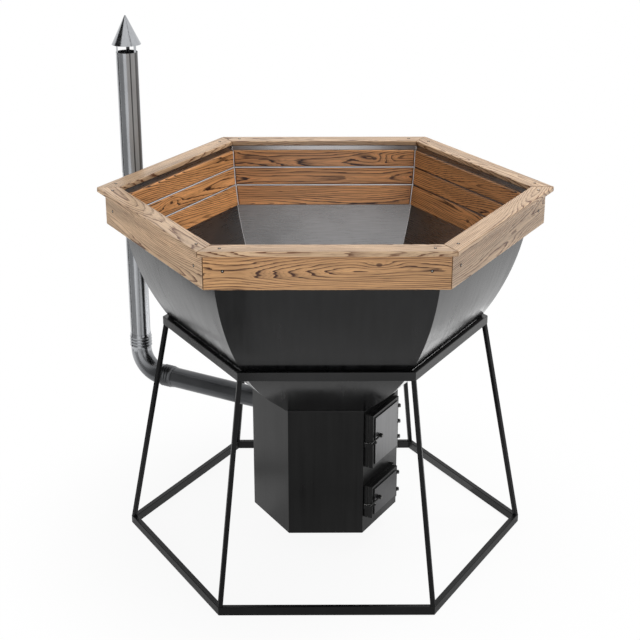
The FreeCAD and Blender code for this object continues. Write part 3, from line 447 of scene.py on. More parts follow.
def bump(tree, height, strength, distance):
    node = tree.nodes.new("ShaderNodeBump")
    node.inputs["Strength"].default_value = strength
    node.inputs["Distance"].default_value = distance
    feed(tree, node.inputs["Height"], height)
    return node.outputs["Normal"]


def use_group(tree, group, **values):
    node = tree.nodes.new("ShaderNodeGroup")
    node.node_tree = group
    for name, value in values.items():
        feed(tree, node.inputs[name.replace("_", " ")], value)
    return node.outputs


LATE_DULLER = 0.12
GRAIN_BUMP = 0.25
GRAIN_DEPTH = 0.0006


def oiled_boards(name, early, late, ring, gloss):
    """Boards with an early and a late colour, a ring width in metres and a roughness."""
    material, tree, surface = finish(name)
    figure = use_group(tree, TIMBER, Lay=read_lay(tree), From_knot=read_vectors(tree, "from_knot"),
                       Ring=ring, Early=colour(*early), Late=colour(*late))
    feed(tree, surface["Base Color"], figure["Colour"])
    feed(tree, surface["Roughness"], spread(tree, figure["Late wood"], 0.0, 1.0, gloss, gloss + LATE_DULLER))
    feed(tree, surface["Normal"], bump(tree, figure["Relief"], GRAIN_BUMP, GRAIN_DEPTH))
    return material


RIM_BOARDS = oiled_boards("rim larch", (221, 188, 151), (102, 62, 34), 0.0072, 0.30)
# The front fascia is the rim larch painted darker and more saturated, as painted shade.
FRONT_BOARD_PAINTED_SHADE = oiled_boards("front larch painted shade", (214, 165, 114), (62, 26, 8), 0.0072, 0.30)
BACKREST_BOARDS = oiled_boards("backrest larch", (244, 176, 114), (40, 14, 4), 0.0080, 0.34)
FLOOR_BOARDS = oiled_boards("floor larch", (180, 132, 88), (92, 58, 34), 0.0110, 0.46)
print("boards:", RIM_BOARDS.name, FRONT_BOARD_PAINTED_SHADE.name, BACKREST_BOARDS.name, FLOOR_BOARDS.name)

# %% [markdown]
# ## The rim
# Each wall has a cap board on top and a fascia board outside. The lay of a cap is measured outward from its
# middle, that of a fascia upward. The joints at the corners have opened a little as the wood dried, so the
# ends of the boards are drawn back and each joint shows as a dark line.

# %% Rim boards
BOARD_EDGE = 0.0011
CAP_LOGS = dict(zip(WALLS, (0.4, 1.7, 2.9, 4.4, 5.3, 6.6)))
FASCIA_LOGS = dict(zip(WALLS, (9.15, 10.2, 12.0, 13.0, 14.1, 15.6)))
FASCIA_KNOTS = {"front": (0, 0.20, 0.030)}
HALF_WALL = math.radians(30)
MITRE_NEAR = 0.0035
CAP_DRAWN = 0.0016
FASCIA_DRAWN = 0.0021


def draw_back_ends(piece, outward, along, amount):
    """Moves the points at the two mitred ends of a board towards its middle."""
    for vertex in piece.data.vertices:
        place = vertex.co.dot(along)
        if abs(place) > vertex.co.dot(outward) * math.tan(HALF_WALL) - MITRE_NEAR:
            vertex.co -= along * math.copysign(amount, place)


UP = Vector((0, 0, 1))
for side in WALLS:
    outward, along = wall_axes(side)
    cap = dressed("cap_board_" + side, BOARD_EDGE)
    draw_back_ends(cap, outward, along, CAP_DRAWN)
    board_lay(cap, lambda points: (along, outward, UP), CAP_LOGS[side])
    stands_for(cap, "cap_board_" + side, RIM_BOARDS)
    fascia = dressed("fascia_board_" + side, BOARD_EDGE)
    draw_back_ends(fascia, outward, along, FASCIA_DRAWN)
    board_lay(fascia, lambda points: (along, UP, outward), FASCIA_LOGS[side], FASCIA_KNOTS.get(side))
    stands_for(fascia, "fascia_board_" + side, FRONT_BOARD_PAINTED_SHADE if side == "front" else RIM_BOARDS)
print("rim boards:", 2 * len(WALLS))

# %% [markdown]
# ## The backrests
# Bathers lean on three wide boards on each wall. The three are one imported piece. Each board comes from its
# own log, counted from the top, and one board on each of the three back walls has a knot.

# %% Backrest boards
BACKREST_LOGS = dict(zip(WALLS, (20.0, 23.1, 26.3, 29.2, 32.4, 35.0)))
BACKREST_KNOTS = {"back": (0, -0.245, 0.0), "back_left": (1, 0.10, 0.01), "back_right": (2, -0.05, 0.0)}
for side in WALLS:
    outward, along = wall_axes(side)
    backrest = dressed("backrest_" + side, BOARD_EDGE)
    rows = board_lay(backrest, lambda points: (along, UP, outward), BACKREST_LOGS[side],
                     BACKREST_KNOTS.get(side))
    stands_for(backrest, "backrest_" + side, BACKREST_BOARDS)
    print("backrest", side, "boards:", rows)

# %% [markdown]
# ## Brush marks
# Sheet steel and tube come from the mill with fine lines in one direction, and painting or wear leaves soft
# clouds. One group gives both: marks are noise drawn out thin in one direction, clouds are broad noise. The
# Stretch input says how fast the marks change in each direction.

# %% Brush marks
CLOUD_STRETCH = (3.1, 3.1, 3.1)
MARK_SHARE = 0.45
CLOUD_SHARE = 0.55
MARK_BUMP = 0.3


def brush_marks():
    tree, given, out = new_group("brush marks", {"Place": "Vector", "Stretch": "Vector"},
                                 {"Marks": "Float", "Clouds": "Float"})
    marks = noise(tree, given["Place"], given["Stretch"], 3.0)
    clouds = noise(tree, given["Place"], CLOUD_STRETCH, 4.0)
    feed(tree, out["Marks"], spread(tree, marks, 0.3, 0.7))
    feed(tree, out["Clouds"], spread(tree, clouds, 0.3, 0.7))
    return tree


BRUSHED = brush_marks()


def read_place(tree):
    """Where a point of the surface is on the object."""
    return tree.nodes.new("ShaderNodeTexCoord").outputs["Object"]


def steel_finish(name, stretch, low, high, gloss, metal, depth, shine=0.5, place=read_place):
    """Steel that varies with its marks: two colours, roughness range, metal share, depth in metres."""
    material, tree, surface = finish(name)
    marks = use_group(tree, BRUSHED, Place=place(tree), Stretch=stretch)
    mixed = maths(tree, "ADD", maths(tree, "MULTIPLY", marks["Marks"], MARK_SHARE),
                  maths(tree, "MULTIPLY", marks["Clouds"], CLOUD_SHARE))
    feed(tree, surface["Base Color"], blended(tree, mixed, colour(*low), colour(*high)))
    feed(tree, surface["Roughness"], spread(tree, mixed, 0.0, 1.0, *gloss))
    feed(tree, surface["Normal"], bump(tree, marks["Marks"], MARK_BUMP, depth))
    surface["Metallic"].default_value = metal
    surface["Specular IOR Level"].default_value = shine
    return material


BLACK_SHINE = 0.46
BOWL_OUTSIDE = steel_finish("bowl satin black", (46, 5.0, 0), (2, 2, 2), (22, 22, 23), (0.12, 0.32), 0.0,
                            0.00016, BLACK_SHINE, place=read_lay)
BOWL_INSIDE = steel_finish("bowl brushed steel", (9, 260, 0), (122, 121, 121), (150, 149, 150), (0.24, 0.32),
                           1.0, 0.000006, place=read_lay)
print("group:", BRUSHED.name, "finishes:", BOWL_OUTSIDE.name, BOWL_INSIDE.name)

# %% [markdown]
# ## The bowl
# A panel is one sheet: outside it is painted satin black, inside it is bare brushed steel. Both sides are in
# one node, so each face gets its finish by the way it looks: faces turned to the bowl's axis are inside.

# %% Bowl panels
PANEL_EDGE = 0.0008
ON_MITRE = 0.3
FACES_UP = 0.5


def panel_lay(piece, along):
    """Along the wall, and up the sheet."""
    store_vectors(piece.data, "lay",
                  [(vertex.co.dot(along), vertex.co.z, 0) for vertex in piece.data.vertices])


def second_finish(piece, chosen):
    """Gives a piece's second finish to the faces that are chosen."""
    for face in piece.data.polygons:
        face.material_index = 1 if chosen(face) else 0


def looks_inside(face, outward, along):
    """Whether a face of a wall looks into the bowl and isn't the cut of a mitre."""
    return face.normal.dot(outward) < 0 and abs(face.normal.dot(along)) <= ON_MITRE


for side in WALLS:
    outward, along = wall_axes(side)
    panel = finished("bowl_panel_" + side, 0, BOWL_OUTSIDE, BOWL_INSIDE)
    panel_lay(panel, along)
    second_finish(panel, lambda face: looks_inside(face, outward, along))
floor_plate = finished("bowl_floor", PANEL_EDGE, BOWL_OUTSIDE, BOWL_INSIDE)
panel_lay(floor_plate, Vector((1, 0, 0)))
second_finish(floor_plate, lambda face: face.normal.z > FACES_UP)
print("bowl panels:", len(WALLS))

# %% [markdown]
# ## Black steel of the stand and the stove
# The tube of the stand is sprayed satin black, a little shinier on the ring that carries the bowl. The
# stove has a heat-proof black. The raised middle of each door is plain rolled plate with upright mill
# lines, lighter than the stove. The ash door plate is painted darker than the fire door plate, as painted
# shade, and the fire door plate has painted shade that darkens it towards its foot.

# %% Stand and stove
TUBE_EDGE = 0.0008
PLATE_EDGE = 0.0012
TUBE_BLACKS = ((8, 8, 9), (20, 20, 21))
STAND_BLACK = steel_finish("stand satin black", (14, 14, 14), *TUBE_BLACKS, (0.30, 0.44), 0.0, 0.0001, 0.18)
RING_BLACK = steel_finish("ring satin black", (14, 14, 14), *TUBE_BLACKS, (0.22, 0.34), 0.0, 0.0001, 0.45)
STOVE_BLACK = steel_finish("stove heat-proof black", (60, 60, 2.5), (6, 6, 6), (24, 24, 24), (0.26, 0.40),
                           0.0, 0.00015, 0.22)
FIRE_PLATE = steel_finish("fire door plate", (70, 70, 2.5), (97, 97, 98), (128, 128, 129), (0.26, 0.36), 0.6,
                          0.00006)
# The ash door plate is the fire door plate painted darker, as painted shade.
ASH_PLATE_PAINTED_SHADE = steel_finish("ash door plate painted shade", (70, 70, 2.5), (55, 55, 56), (77, 77, 78), (0.26, 0.36), 0.6,
                         0.00006)


def shade_painted_to_foot(material, node, share):
    """Paints shade into a finish towards the foot of a node, down to a share of its tone."""
    tree = material.node_tree
    base = tree.nodes["Principled BSDF"].inputs["Base Color"]
    low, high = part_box(node)
    shade = spread(tree, split_vector(tree, read_place(tree))["Z"], low[2], high[2], share, 1.0)
    feed(tree, base, blended(tree, 1.0, base.links[0].from_socket, shade, "MULTIPLY"))


# Painted shade: the fire door plate darkens towards its foot.
PAINTED_SHADE_AT_FOOT = 0.55
shade_painted_to_foot(FIRE_PLATE, "fire_door", PAINTED_SHADE_AT_FOOT)
for node in ("base_rails", "ring_rails", "legs"):
    finished(node, TUBE_EDGE, RING_BLACK if node == "ring_rails" else STAND_BLACK)
for node in ("stove_shell", "stove_bottom", "fire_door_frame", "ash_door_frame", "fire_latch", "ash_latch"):
    finished(node, PLATE_EDGE, STOVE_BLACK)
DOOR_WALL = "front_right"
BROAD = 0.01
SAME_LEVEL = 0.0005
for node, plate in (("fire_door", FIRE_PLATE), ("ash_door", ASH_PLATE_PAINTED_SHADE)):
    door = finished(node, PLATE_EDGE, STOVE_BLACK, plate)
    outward = wall_axes(DOOR_WALL)[0]
    level = max(face.center.dot(outward) for face in door.data.polygons if face.area > BROAD)
    second_finish(door, lambda face: abs(face.center.dot(outward) - level) < SAME_LEVEL)
print("stand and stove dressed")

# %% [markdown]
# ## Small steel, iron and rope
# Hinge pins and bolts are plain steel, and the faces of the keepers that look up are coloured near white as
# a painted highlight. The fire grate and its ledges are iron with a rough cast skin. The door seals are black
# woven glass rope, whose slanting strands are a wave pattern used as a bump and a shade.

# %% Small pieces of the stove
LATCH_STEEL = steel_finish("latch plain steel", (80, 80, 80), (84, 84, 83), (124, 124, 122), (0.30, 0.46),
                           1.0, 0.0001)
# Near-white steel for the faces of the keepers that look up: a painted highlight.
KEEPER_PAINTED_HIGHLIGHT = steel_finish("keeper painted highlight", (80, 80, 80), (202, 202, 200), (228, 228, 226), (0.30, 0.46),
                          0.2, 0.0001)
CAST_GRAIN = (420, 420, 420)
RUST_SPOTS = (22, 22, 22)
STRANDS = 160.0
STRAND_WAVER = 1.2


def cast_iron():
    material, tree, surface = finish("grate cast iron")
    place = read_place(tree)
    skin = noise(tree, place, CAST_GRAIN, 3.0)
    rust = spread(tree, noise(tree, place, RUST_SPOTS, 4.0), 0.52, 0.72)
    feed(tree, surface["Base Color"], blended(tree, rust, colour(58, 56, 54), colour(98, 66, 48)))
    feed(tree, surface["Roughness"], spread(tree, skin, 0.3, 0.7, 0.55, 0.75))
    feed(tree, surface["Normal"], bump(tree, skin, 0.5, 0.0005))
    surface["Metallic"].default_value = 0.6
    return material


def glass_rope():
    material, tree, surface = finish("seal glass rope")
    strands = tree.nodes.new("ShaderNodeTexWave")
    strands.bands_direction = "DIAGONAL"
    strands.inputs["Scale"].default_value = STRANDS
    strands.inputs["Distortion"].default_value = STRAND_WAVER
    feed(tree, strands.inputs["Vector"], read_place(tree))
    feed(tree, surface["Base Color"], blended(tree, strands.outputs["Fac"], colour(38, 37, 36),
                                              colour(72, 70, 68)))
    feed(tree, surface["Normal"], bump(tree, strands.outputs["Fac"], 0.7, 0.0006))
    surface["Roughness"].default_value = 0.9
    return material


GRATE_IRON = cast_iron()
SEAL_ROPE = glass_rope()
PIN_EDGE = 0.0005
for door in ("fire", "ash"):
    finished(door + "_hinge_pins", PIN_EDGE, LATCH_STEEL)
    finished(door + "_latch_bolt", PIN_EDGE, LATCH_STEEL)
    keeper = finished(door + "_keeper", PIN_EDGE, STOVE_BLACK, KEEPER_PAINTED_HIGHLIGHT)
    # The faces that look up take the painted highlight.
    second_finish(keeper, lambda face: face.normal.z > FACES_UP)
    finished(door + "_door_seal", PIN_EDGE, SEAL_ROPE)
finished("fire_grate", PLATE_EDGE, GRATE_IRON)
finished("grate_ledges", 0, GRATE_IRON)
print("small stove pieces dressed")

# %% [markdown]
# ## The flue and the chimney
# The pipes are bright stainless steel, polished along their length, so they mirror the studio in upright
# bands. Low roughness keeps those bands crisp, and very faint marks along the pipe keep it from looking like
# glass. The pipe nearest the stove is darker.

# %% Flue
PIPE_STRETCH = (160, 160, 1.6)
PIPE_TONES = ((166, 168, 171), (190, 192, 195))
FLUE_STEEL = steel_finish("flue stainless", PIPE_STRETCH, *PIPE_TONES, (0.16, 0.24), 1.0, 0.00005)
# Where the flue turns darker on its way to the stove, by reach from the middle plus height.
DARK_START = 1.80
DARK_FULL = 1.52


def darkening_flue_steel():
    """Flue steel that darkens on its way to the stove."""
    material, tree, surface = finish("flue stainless darker to stove")
    place = read_place(tree)
    marks = use_group(tree, BRUSHED, Place=place, Stretch=(60, 60, 60))
    reach = vector_length(tree, place, (1, 1, 0))
    height = vector_length(tree, place, (0, 0, 1))
    darkening = spread(tree, maths(tree, "ADD", reach, height), DARK_START, DARK_FULL, 0.0, 1.0, True)
    bright = blended(tree, marks["Clouds"], colour(158, 160, 163), colour(182, 184, 187))
    darker_tone = blended(tree, marks["Clouds"], colour(72, 73, 75), colour(100, 101, 103))
    feed(tree, surface["Base Color"], blended(tree, darkening, bright, darker_tone))
    feed(tree, surface["Roughness"], spread(tree, darkening, 0.0, 1.0, 0.20, 0.28))
    surface["Metallic"].default_value = 1.0
    return material


DARKENING_FLUE_STEEL = darkening_flue_steel()
for node in ("chimney_lower", "chimney_hood", "hood_straps"):
    finished(node, 0, FLUE_STEEL)
for node in ("flue_collar", "flue_pipe"):
    finished(node, 0, DARKENING_FLUE_STEEL)
print("flue dressed")

# %% [markdown]
# ## The chimney above the rim
# On the side of the upper pipe that faces the bath, upright bands of grey from end to end are painted into
# the colour as a painted reflection, and the steel there is duller and less metal, so it hardly mirrors the
# boards beside it. The rest of the pipe stays bright. The turn round the pipe's axis, which starts and ends
# at the left, sets where the painted side and its bands lie.

# %% Streaked chimney
# The painted reflection: the side that it covers, and its upright bands of grey.
PAINTED_REFLECTION_SIDE = ((0.250, 0.0), (0.264, 1.0), (0.468, 1.0), (0.495, 0.0))
PAINTED_REFLECTION_BANDS = ((0.262, 0.34), (0.301, 0.34), (0.306, 0.03), (0.318, 0.03),
           (0.325, 0.31), (0.386, 0.33), (0.397, 0.07), (0.468, 0.10))


def chimney_axis():
    """Where the upper pipe stands, seen from above."""
    low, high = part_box("chimney_upper")
    return (low[0] + high[0]) / 2, (low[1] + high[1]) / 2


def steel_with_painted_reflection():
    """Flue steel with a dull side that carries a painted reflection in upright bands."""
    material, tree, surface = finish("chimney stainless painted reflection")
    place = read_place(tree)
    parts = split_vector(tree, vector_maths(tree, "SUBTRACT", place, (*chimney_axis(), 0)))
    turn = spread(tree, maths(tree, "ARCTAN2", parts["Y"], parts["X"]), -math.pi, math.pi)
    painted_side = stepped(tree, turn, PAINTED_REFLECTION_SIDE)
    marks = use_group(tree, BRUSHED, Place=place, Stretch=PIPE_STRETCH)
    bright = blended(tree, marks["Clouds"], *(colour(*tone) for tone in PIPE_TONES))
    clouds = spread(tree, marks["Clouds"], 0.0, 1.0, 0.85, 1.1)
    painted_bands = maths(tree, "MULTIPLY", stepped(tree, turn, PAINTED_REFLECTION_BANDS), clouds)
    # The bands of painted reflection go into the colour of the dull side.
    feed(tree, surface["Base Color"], blended(tree, painted_side, bright, painted_bands))
    feed(tree, surface["Roughness"], spread(tree, painted_side, 0.0, 1.0, 0.20, 0.36))
    feed(tree, surface["Metallic"], spread(tree, painted_side, 0.0, 1.0, 1.0, 0.15))
    return material


finished("chimney_upper", 0, steel_with_painted_reflection())
print("chimney painted reflection bands:", len(PAINTED_REFLECTION_BANDS))

# %% [markdown]
# ## The drain and the floor grate
# Out of view under the back wall is a brass plug cock with a dipped lever, and inside the bowl lies a grate
# of larch slats. They are finished like the rest, because the part is looked at from every side.

# %% Drain and floor grate
DRAIN_BRASS = steel_finish("drain brass", (90, 90, 90), (160, 122, 62), (204, 166, 96), (0.26, 0.42), 1.0,
                           0.00008)
DRAIN_CHROME = steel_finish("plug chrome", (120, 120, 120), (200, 201, 203), (222, 223, 225), (0.10, 0.18),
                            1.0, 0.00004)
LEVER_DIP = steel_finish("lever dipped red", (26, 26, 26), (120, 22, 18), (150, 32, 26), (0.34, 0.48), 0.0,
                         0.0002)
for node, metal in (("drain_nipple", DRAIN_BRASS), ("drain_valve_body", DRAIN_BRASS),
                    ("drain_plug", DRAIN_CHROME), ("drain_lever", LEVER_DIP)):
    finished(node, PIN_EDGE, metal)


def slat_directions(points):
    """Slats run along X and bearers along Y."""
    spans = [max(point[axis] for point in points) - min(point[axis] for point in points)
             for axis in (0, 1)]
    sideways, forward = Vector((1, 0, 0)), Vector((0, 1, 0))
    return (sideways, forward, UP) if spans[0] > spans[1] else (forward, sideways, UP)


SLAT_LOG = 40.0
slats = dressed("floor_grate", BOARD_EDGE)
boards = board_lay(slats, slat_directions, SLAT_LOG)
stands_for(slats, "floor_grate", FLOOR_BOARDS)
print("drain dressed; floor grate boards:", boards)

# %% [markdown]
# ## Studs by Geometry Nodes
# Small things that come in numbers are made by a tree of Geometry Nodes. Every tree here starts with named
# inputs, and ends by making its copies real and giving them a finish. The first one sets a tapered disc on
# every point of a mesh, turned to the way that point faces, so it can make a seat, a head or a socket of a
# screw, each with its own sizes.

# %% Studs on points
def join(tree, *pairs):
    """Links each first socket to the second one."""
    for source, target in pairs:
        tree.links.new(source, target)


def geometry_tree(name, **inputs):
    """A new tree, what it is given, and the socket that takes its shape to the end."""
    tree = bpy.data.node_groups.new(name, "GeometryNodeTree")
    for label, kind in {"Geometry": "Geometry", **inputs, "Finish": "Material"}.items():
        socket = label.replace("_", " ")
        tree.interface.new_socket(name=socket, in_out="INPUT", socket_type="NodeSocket" + kind)
    tree.interface.new_socket(name="Geometry", in_out="OUTPUT", socket_type="NodeSocketGeometry")
    given = tree.nodes.new("NodeGroupInput").outputs
    real = tree.nodes.new("GeometryNodeRealizeInstances")
    coated = tree.nodes.new("GeometryNodeSetMaterial")
    result = tree.nodes.new("NodeGroupOutput").inputs
    join(tree, (real.outputs["Geometry"], coated.inputs["Geometry"]),
         (given["Finish"], coated.inputs["Material"]), (coated.outputs["Geometry"], result["Geometry"]))
    return tree, given, real.inputs["Geometry"]


def grown(name, tree, mesh, **values):
    """A piece with the plain mesh that a tree makes of a mesh, with a value for each input."""
    piece = added(name, mesh)
    modifier = piece.modifiers.new(tree.name, "NODES")
    modifier.node_group = tree
    sockets = {item.name: item.identifier for item in tree.interface.items_tree if item.in_out == "INPUT"}
    for label, value in values.items():
        modifier[sockets[label.replace("_", " ")]] = value
    plain_mesh(piece)
    return piece


def studs_tree():
    tree, given, end = geometry_tree("studs on points", Sides="Int", Wide_radius="Float",
                                     Narrow_radius="Float", Height="Float", Lift="Float")
    facing = tree.nodes.new("GeometryNodeInputNamedAttribute")
    facing.data_type = "FLOAT_VECTOR"
    facing.inputs["Name"].default_value = "facing"
    turn = tree.nodes.new("FunctionNodeAlignRotationToVector")
    turn.axis = "Z"
    disc = tree.nodes.new("GeometryNodeMeshCone")
    lifted = tree.nodes.new("ShaderNodeCombineXYZ")
    moved = tree.nodes.new("GeometryNodeTransform")
    placed = tree.nodes.new("GeometryNodeInstanceOnPoints")
    join(tree, (facing.outputs["Attribute"], turn.inputs["Vector"]),
         (given["Sides"], disc.inputs["Vertices"]), (given["Wide radius"], disc.inputs["Radius Bottom"]),
         (given["Narrow radius"], disc.inputs["Radius Top"]), (given["Height"], disc.inputs["Depth"]),
         (given["Lift"], lifted.inputs["Z"]), (lifted.outputs[0], moved.inputs["Translation"]),
         (disc.outputs["Mesh"], moved.inputs["Geometry"]), (given["Geometry"], placed.inputs["Points"]),
         (moved.outputs["Geometry"], placed.inputs["Instance"]),
         (turn.outputs["Rotation"], placed.inputs["Rotation"]), (placed.outputs["Instances"], end))
    return tree


STUDS = studs_tree()


def studs(name, seats, **values):
    """A stud on each seat; a seat is a place and the way it faces."""
    mesh = bpy.data.meshes.new(name)
    mesh.from_pydata([place for place, _ in seats], [], [])
    store_vectors(mesh, "facing", [way for _, way in seats])
    return grown(name, STUDS, mesh, **values)


print("tree:", STUDS.name)

# %% [markdown]
# ## The rim screws
# Two dozen small screws hold the rim. Each is sunk in a bored seat, coloured near black as painted shade,
# from which a near-white head, a painted glint, with a six-sided socket of painted shade just looks out. The
# places come from the imported screws: a screw that ends above the caps looks up, any other looks out of the
# wall that it is nearest to.

# %% Rim screws
# The near-white head is a painted glint.
SCREW_HEAD_PAINTED_GLINT = steel_finish("screw head painted glint", (200, 200, 200), (236, 236, 234), (250, 250, 248),
                           (0.22, 0.36), 0.15, 0.00003)
# The seat and the socket are coloured near black, as painted shade in the recesses.
SEAT_PAINTED_SHADE = steel_finish("seat and socket painted shade", (300, 300, 300), (16, 11, 8), (32, 22, 15), (0.7, 0.9), 0.0, 0.0001)


def screw_seats():
    """The middle of each packed screw's head and the way that it faces."""
    mesh = merged_mesh("rim_screws")
    seats = []
    for island in islands_of(mesh):
        points = [mesh.vertices[index].co for index in island]
        middle = sum(points, Vector()) / len(points)
        if max(point.z for point in points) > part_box("cap_board_front")[1][2]:
            facing = UP
        else:
            facing = max((wall_axes(side)[0] for side in WALLS), key=middle.dot)
        reach = max(point.dot(facing) for point in points)
        seats.append((middle + facing * (reach - middle.dot(facing)), facing))
    return seats


HEAD_RADIUS = 0.0023
HEAD_TAPER = 0.72
HEAD_HEIGHT = 0.0010
HEAD_RISE = 0.0020
HEAD_SIDES = 24
SEAT_RADIUS = 0.0066
SEAT_LIFT = 0.0003
SOCKET_RADIUS = 0.0011
SOCKET_SHOWS = 0.08
SOCKET_SIDES = 6
seats = screw_seats()
shaded_seats = studs("rim_screw_seats", seats, Finish=SEAT_PAINTED_SHADE, Sides=HEAD_SIDES, Wide_radius=SEAT_RADIUS,
              Narrow_radius=SEAT_RADIUS, Height=HEAD_HEIGHT, Lift=SEAT_LIFT - HEAD_RISE - HEAD_HEIGHT / 2)
heads = studs("rim_screw_heads", seats, Finish=SCREW_HEAD_PAINTED_GLINT, Sides=HEAD_SIDES, Wide_radius=HEAD_RADIUS,
              Narrow_radius=HEAD_RADIUS * HEAD_TAPER, Height=HEAD_HEIGHT, Lift=-HEAD_RISE / 2)
sockets = studs("rim_screw_sockets", seats, Finish=SEAT_PAINTED_SHADE, Sides=SOCKET_SIDES, Wide_radius=SOCKET_RADIUS,
                Narrow_radius=SOCKET_RADIUS, Height=HEAD_HEIGHT,
                Lift=-HEAD_RISE / 2 + HEAD_HEIGHT * SOCKET_SHOWS)
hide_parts("rim_screws")
for piece in (shaded_seats, heads, sockets):
    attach(piece, "vat")
print("rim screws:", len(seats))

# %% [markdown]
# ## Ground seams inside the bowl
# The six panels are welded along their edges, and inside the bowl the welds are ground to a thin bright line.
# A curve is drawn down each corner where two panels meet, and a Geometry Nodes tree sweeps a small round
# profile along all six at once.

# %% Inside seams
def seam_tree():
    tree, given, end = geometry_tree("ground seam", Radius="Float", Sides="Int")
    line = tree.nodes.new("GeometryNodeMeshToCurve")
    ring = tree.nodes.new("GeometryNodeCurvePrimitiveCircle")
    swept = tree.nodes.new("GeometryNodeCurveToMesh")
    swept.inputs["Fill Caps"].default_value = True
    join(tree, (given["Geometry"], line.inputs["Mesh"]), (given["Radius"], ring.inputs["Radius"]),
         (given["Sides"], ring.inputs["Resolution"]), (line.outputs["Curve"], swept.inputs["Curve"]),
         (ring.outputs["Curve"], swept.inputs["Profile Curve"]), (swept.outputs["Mesh"], end))
    return tree


SEAM = seam_tree()
SEAM_STEEL = steel_finish("seam ground bright", (60, 60, 260), (196, 197, 199), (228, 229, 231), (0.26, 0.40),
                          1.0, 0.00008)
SEAM_RADIUS = 0.0018
LINE_SIDES = 8
WALL_TURN = 60
SAME_PLANE = 1e-4
PAST_RIM = 0.02


def corner_points():
    """The inside edge of the front panel on its right-hand corner, from the top down."""
    panel = bpy.data.objects["bowl_panel_front_dressed"].data
    outward, along = wall_axes("front")
    inside = {index for face in panel.polygons if face.material_index == 1 for index in face.vertices}
    points = [panel.vertices[index].co for index in inside]
    edge = [point for point in points
            if abs(point.dot(along) - point.dot(outward) * math.tan(HALF_WALL)) < SAME_PLANE]
    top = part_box("cap_board_front")[0][2]
    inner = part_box("cap_board_front")[1][1]
    kept = [point for point in edge if point.z < top - SAME_PLANE and -point.y < -inner + PAST_RIM]
    return sorted(kept, key=lambda point: -point.z)


def swept_lines(name, lines, radius, finish_used, steps=range(len(WALLS))):
    """The lines of the front wall, swept round, on the walls that are so many steps further on."""
    points = []
    edges = []
    for step in steps:
        turn = math.radians(WALL_TURN * step)
        for line in lines:
            start = len(points)
            points += [(math.cos(turn) * point.x - math.sin(turn) * point.y,
                        math.sin(turn) * point.x + math.cos(turn) * point.y, point.z) for point in line]
            edges += [(start + index, start + index + 1) for index in range(len(line) - 1)]
    mesh = bpy.data.meshes.new(name)
    mesh.from_pydata(points, edges, [])
    piece = grown(name, SEAM, mesh, Radius=radius, Sides=LINE_SIDES, Finish=finish_used)
    piece.data.shade_smooth()
    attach(piece, "vat")
    return piece


seams = swept_lines("bowl_inside_seams", [corner_points()], SEAM_RADIUS, SEAM_STEEL)
print("seams:", len(WALLS), "faces:", len(seams.data.polygons))

# %% [markdown]
# ## Bright lines between the backrest boards
# Between the boards of a backrest, and at the corners between two backrests, a narrow line of steel shows,
# coloured near white as a painted highlight. The same tree sweeps a thin rod behind the face of the boards in
# each gap. The places come from the front backrest: the lower edge of one board and the upper edge of the next
# make a gap, and the ends make a corner. The two right-hand walls are in shade, so their gaps get no line and
# stay dark.

# %% Lines between the boards
GAP_RADIUS = 0.0031
GAP_BEHIND = 0.0026
GAP_END = 0.004
NEAR_EDGE = 0.003
# The rods are coloured near white as a painted highlight.
GAP_PAINTED_HIGHLIGHT = steel_finish("gap steel painted highlight", (40, 40, 40), (222, 225, 230), (240, 242, 246), (0.30, 0.42), 0.6,
                         0.00004)


def board_faces():
    """The height and the reach of the upper and the lower edge of each front backrest board, from the top."""
    mesh = bpy.data.objects["backrest_front_dressed"].data
    outward = wall_axes("front")[0]
    faces = []
    for island in islands_of(mesh):
        points = [mesh.vertices[index].co for index in island]
        high = max(point.z for point in points)
        low = min(point.z for point in points)
        upper = min(point.dot(outward) for point in points if point.z > high - NEAR_EDGE)
        lower = min(point.dot(outward) for point in points if point.z < low + NEAR_EDGE)
        faces.append((high, upper, low, lower))
    return sorted(faces, reverse=True)


def gap_lines():
    """A line from end to end in each gap between two boards."""
    faces = board_faces()
    outward, along = wall_axes("front")
    lines = []
    for above, below in zip(faces, faces[1:]):
        height = (above[2] + below[0]) / 2
        reach = (above[3] + below[1]) / 2 + GAP_BEHIND
        half = reach * math.tan(HALF_WALL) - GAP_END
        lines.append([outward * reach + along * (half * end) + UP * height for end in (-1, 1)])
    return lines


def corner_line():
    """A line down the corner, along the edges of the boards."""
    outward, along = wall_axes("front")
    corner = outward + along * math.tan(HALF_WALL)
    edges = [(height, reach) for face in board_faces() for height, reach in (face[:2], face[2:])]
    return [corner * (reach + GAP_BEHIND) + UP * height for height, reach in edges]


# Only these walls are lit, so only they get the painted highlight in their gaps.
LIT_WALLS = (0, 3, 4, 5)
swept_lines("backrest_gap_painted_highlights", gap_lines(), GAP_RADIUS, GAP_PAINTED_HIGHLIGHT, LIT_WALLS)
swept_lines("backrest_corner_painted_highlights", [corner_line()], GAP_RADIUS, GAP_PAINTED_HIGHLIGHT)
print("gap lines:", len(LIT_WALLS) * len(gap_lines()), "corner lines:", len(WALLS))

# %% [markdown]
# ## The studio
# The vat stands on a wide white floor under a white sky. Camera, mirror and glass rays see plain white
# there, so that steel mirrors a white studio, while the light that falls on the vat stays at a plain level.
# The floor is part white glow and part lit surface, so it keeps a soft shadow under the stand.

# %% Floor and sky
FLOOR_GREY = (0.86, 0.86, 0.86, 1)
GLOW_SHARE = 0.92
SHADOW_NEAR = 0.7
SHADOW_FAR = 1.7
FLOOR_HALF = 60.0


def seen_directly(tree):
    """1 where a ray comes from the camera, a mirror or a pane of glass."""
    path = tree.nodes.new("ShaderNodeLightPath").outputs
    mirrored = maths(tree, "ADD", path["Is Glossy Ray"], path["Is Transmission Ray"])
    return maths(tree, "MINIMUM", maths(tree, "ADD", path["Is Camera Ray"], mirrored), 1.0)


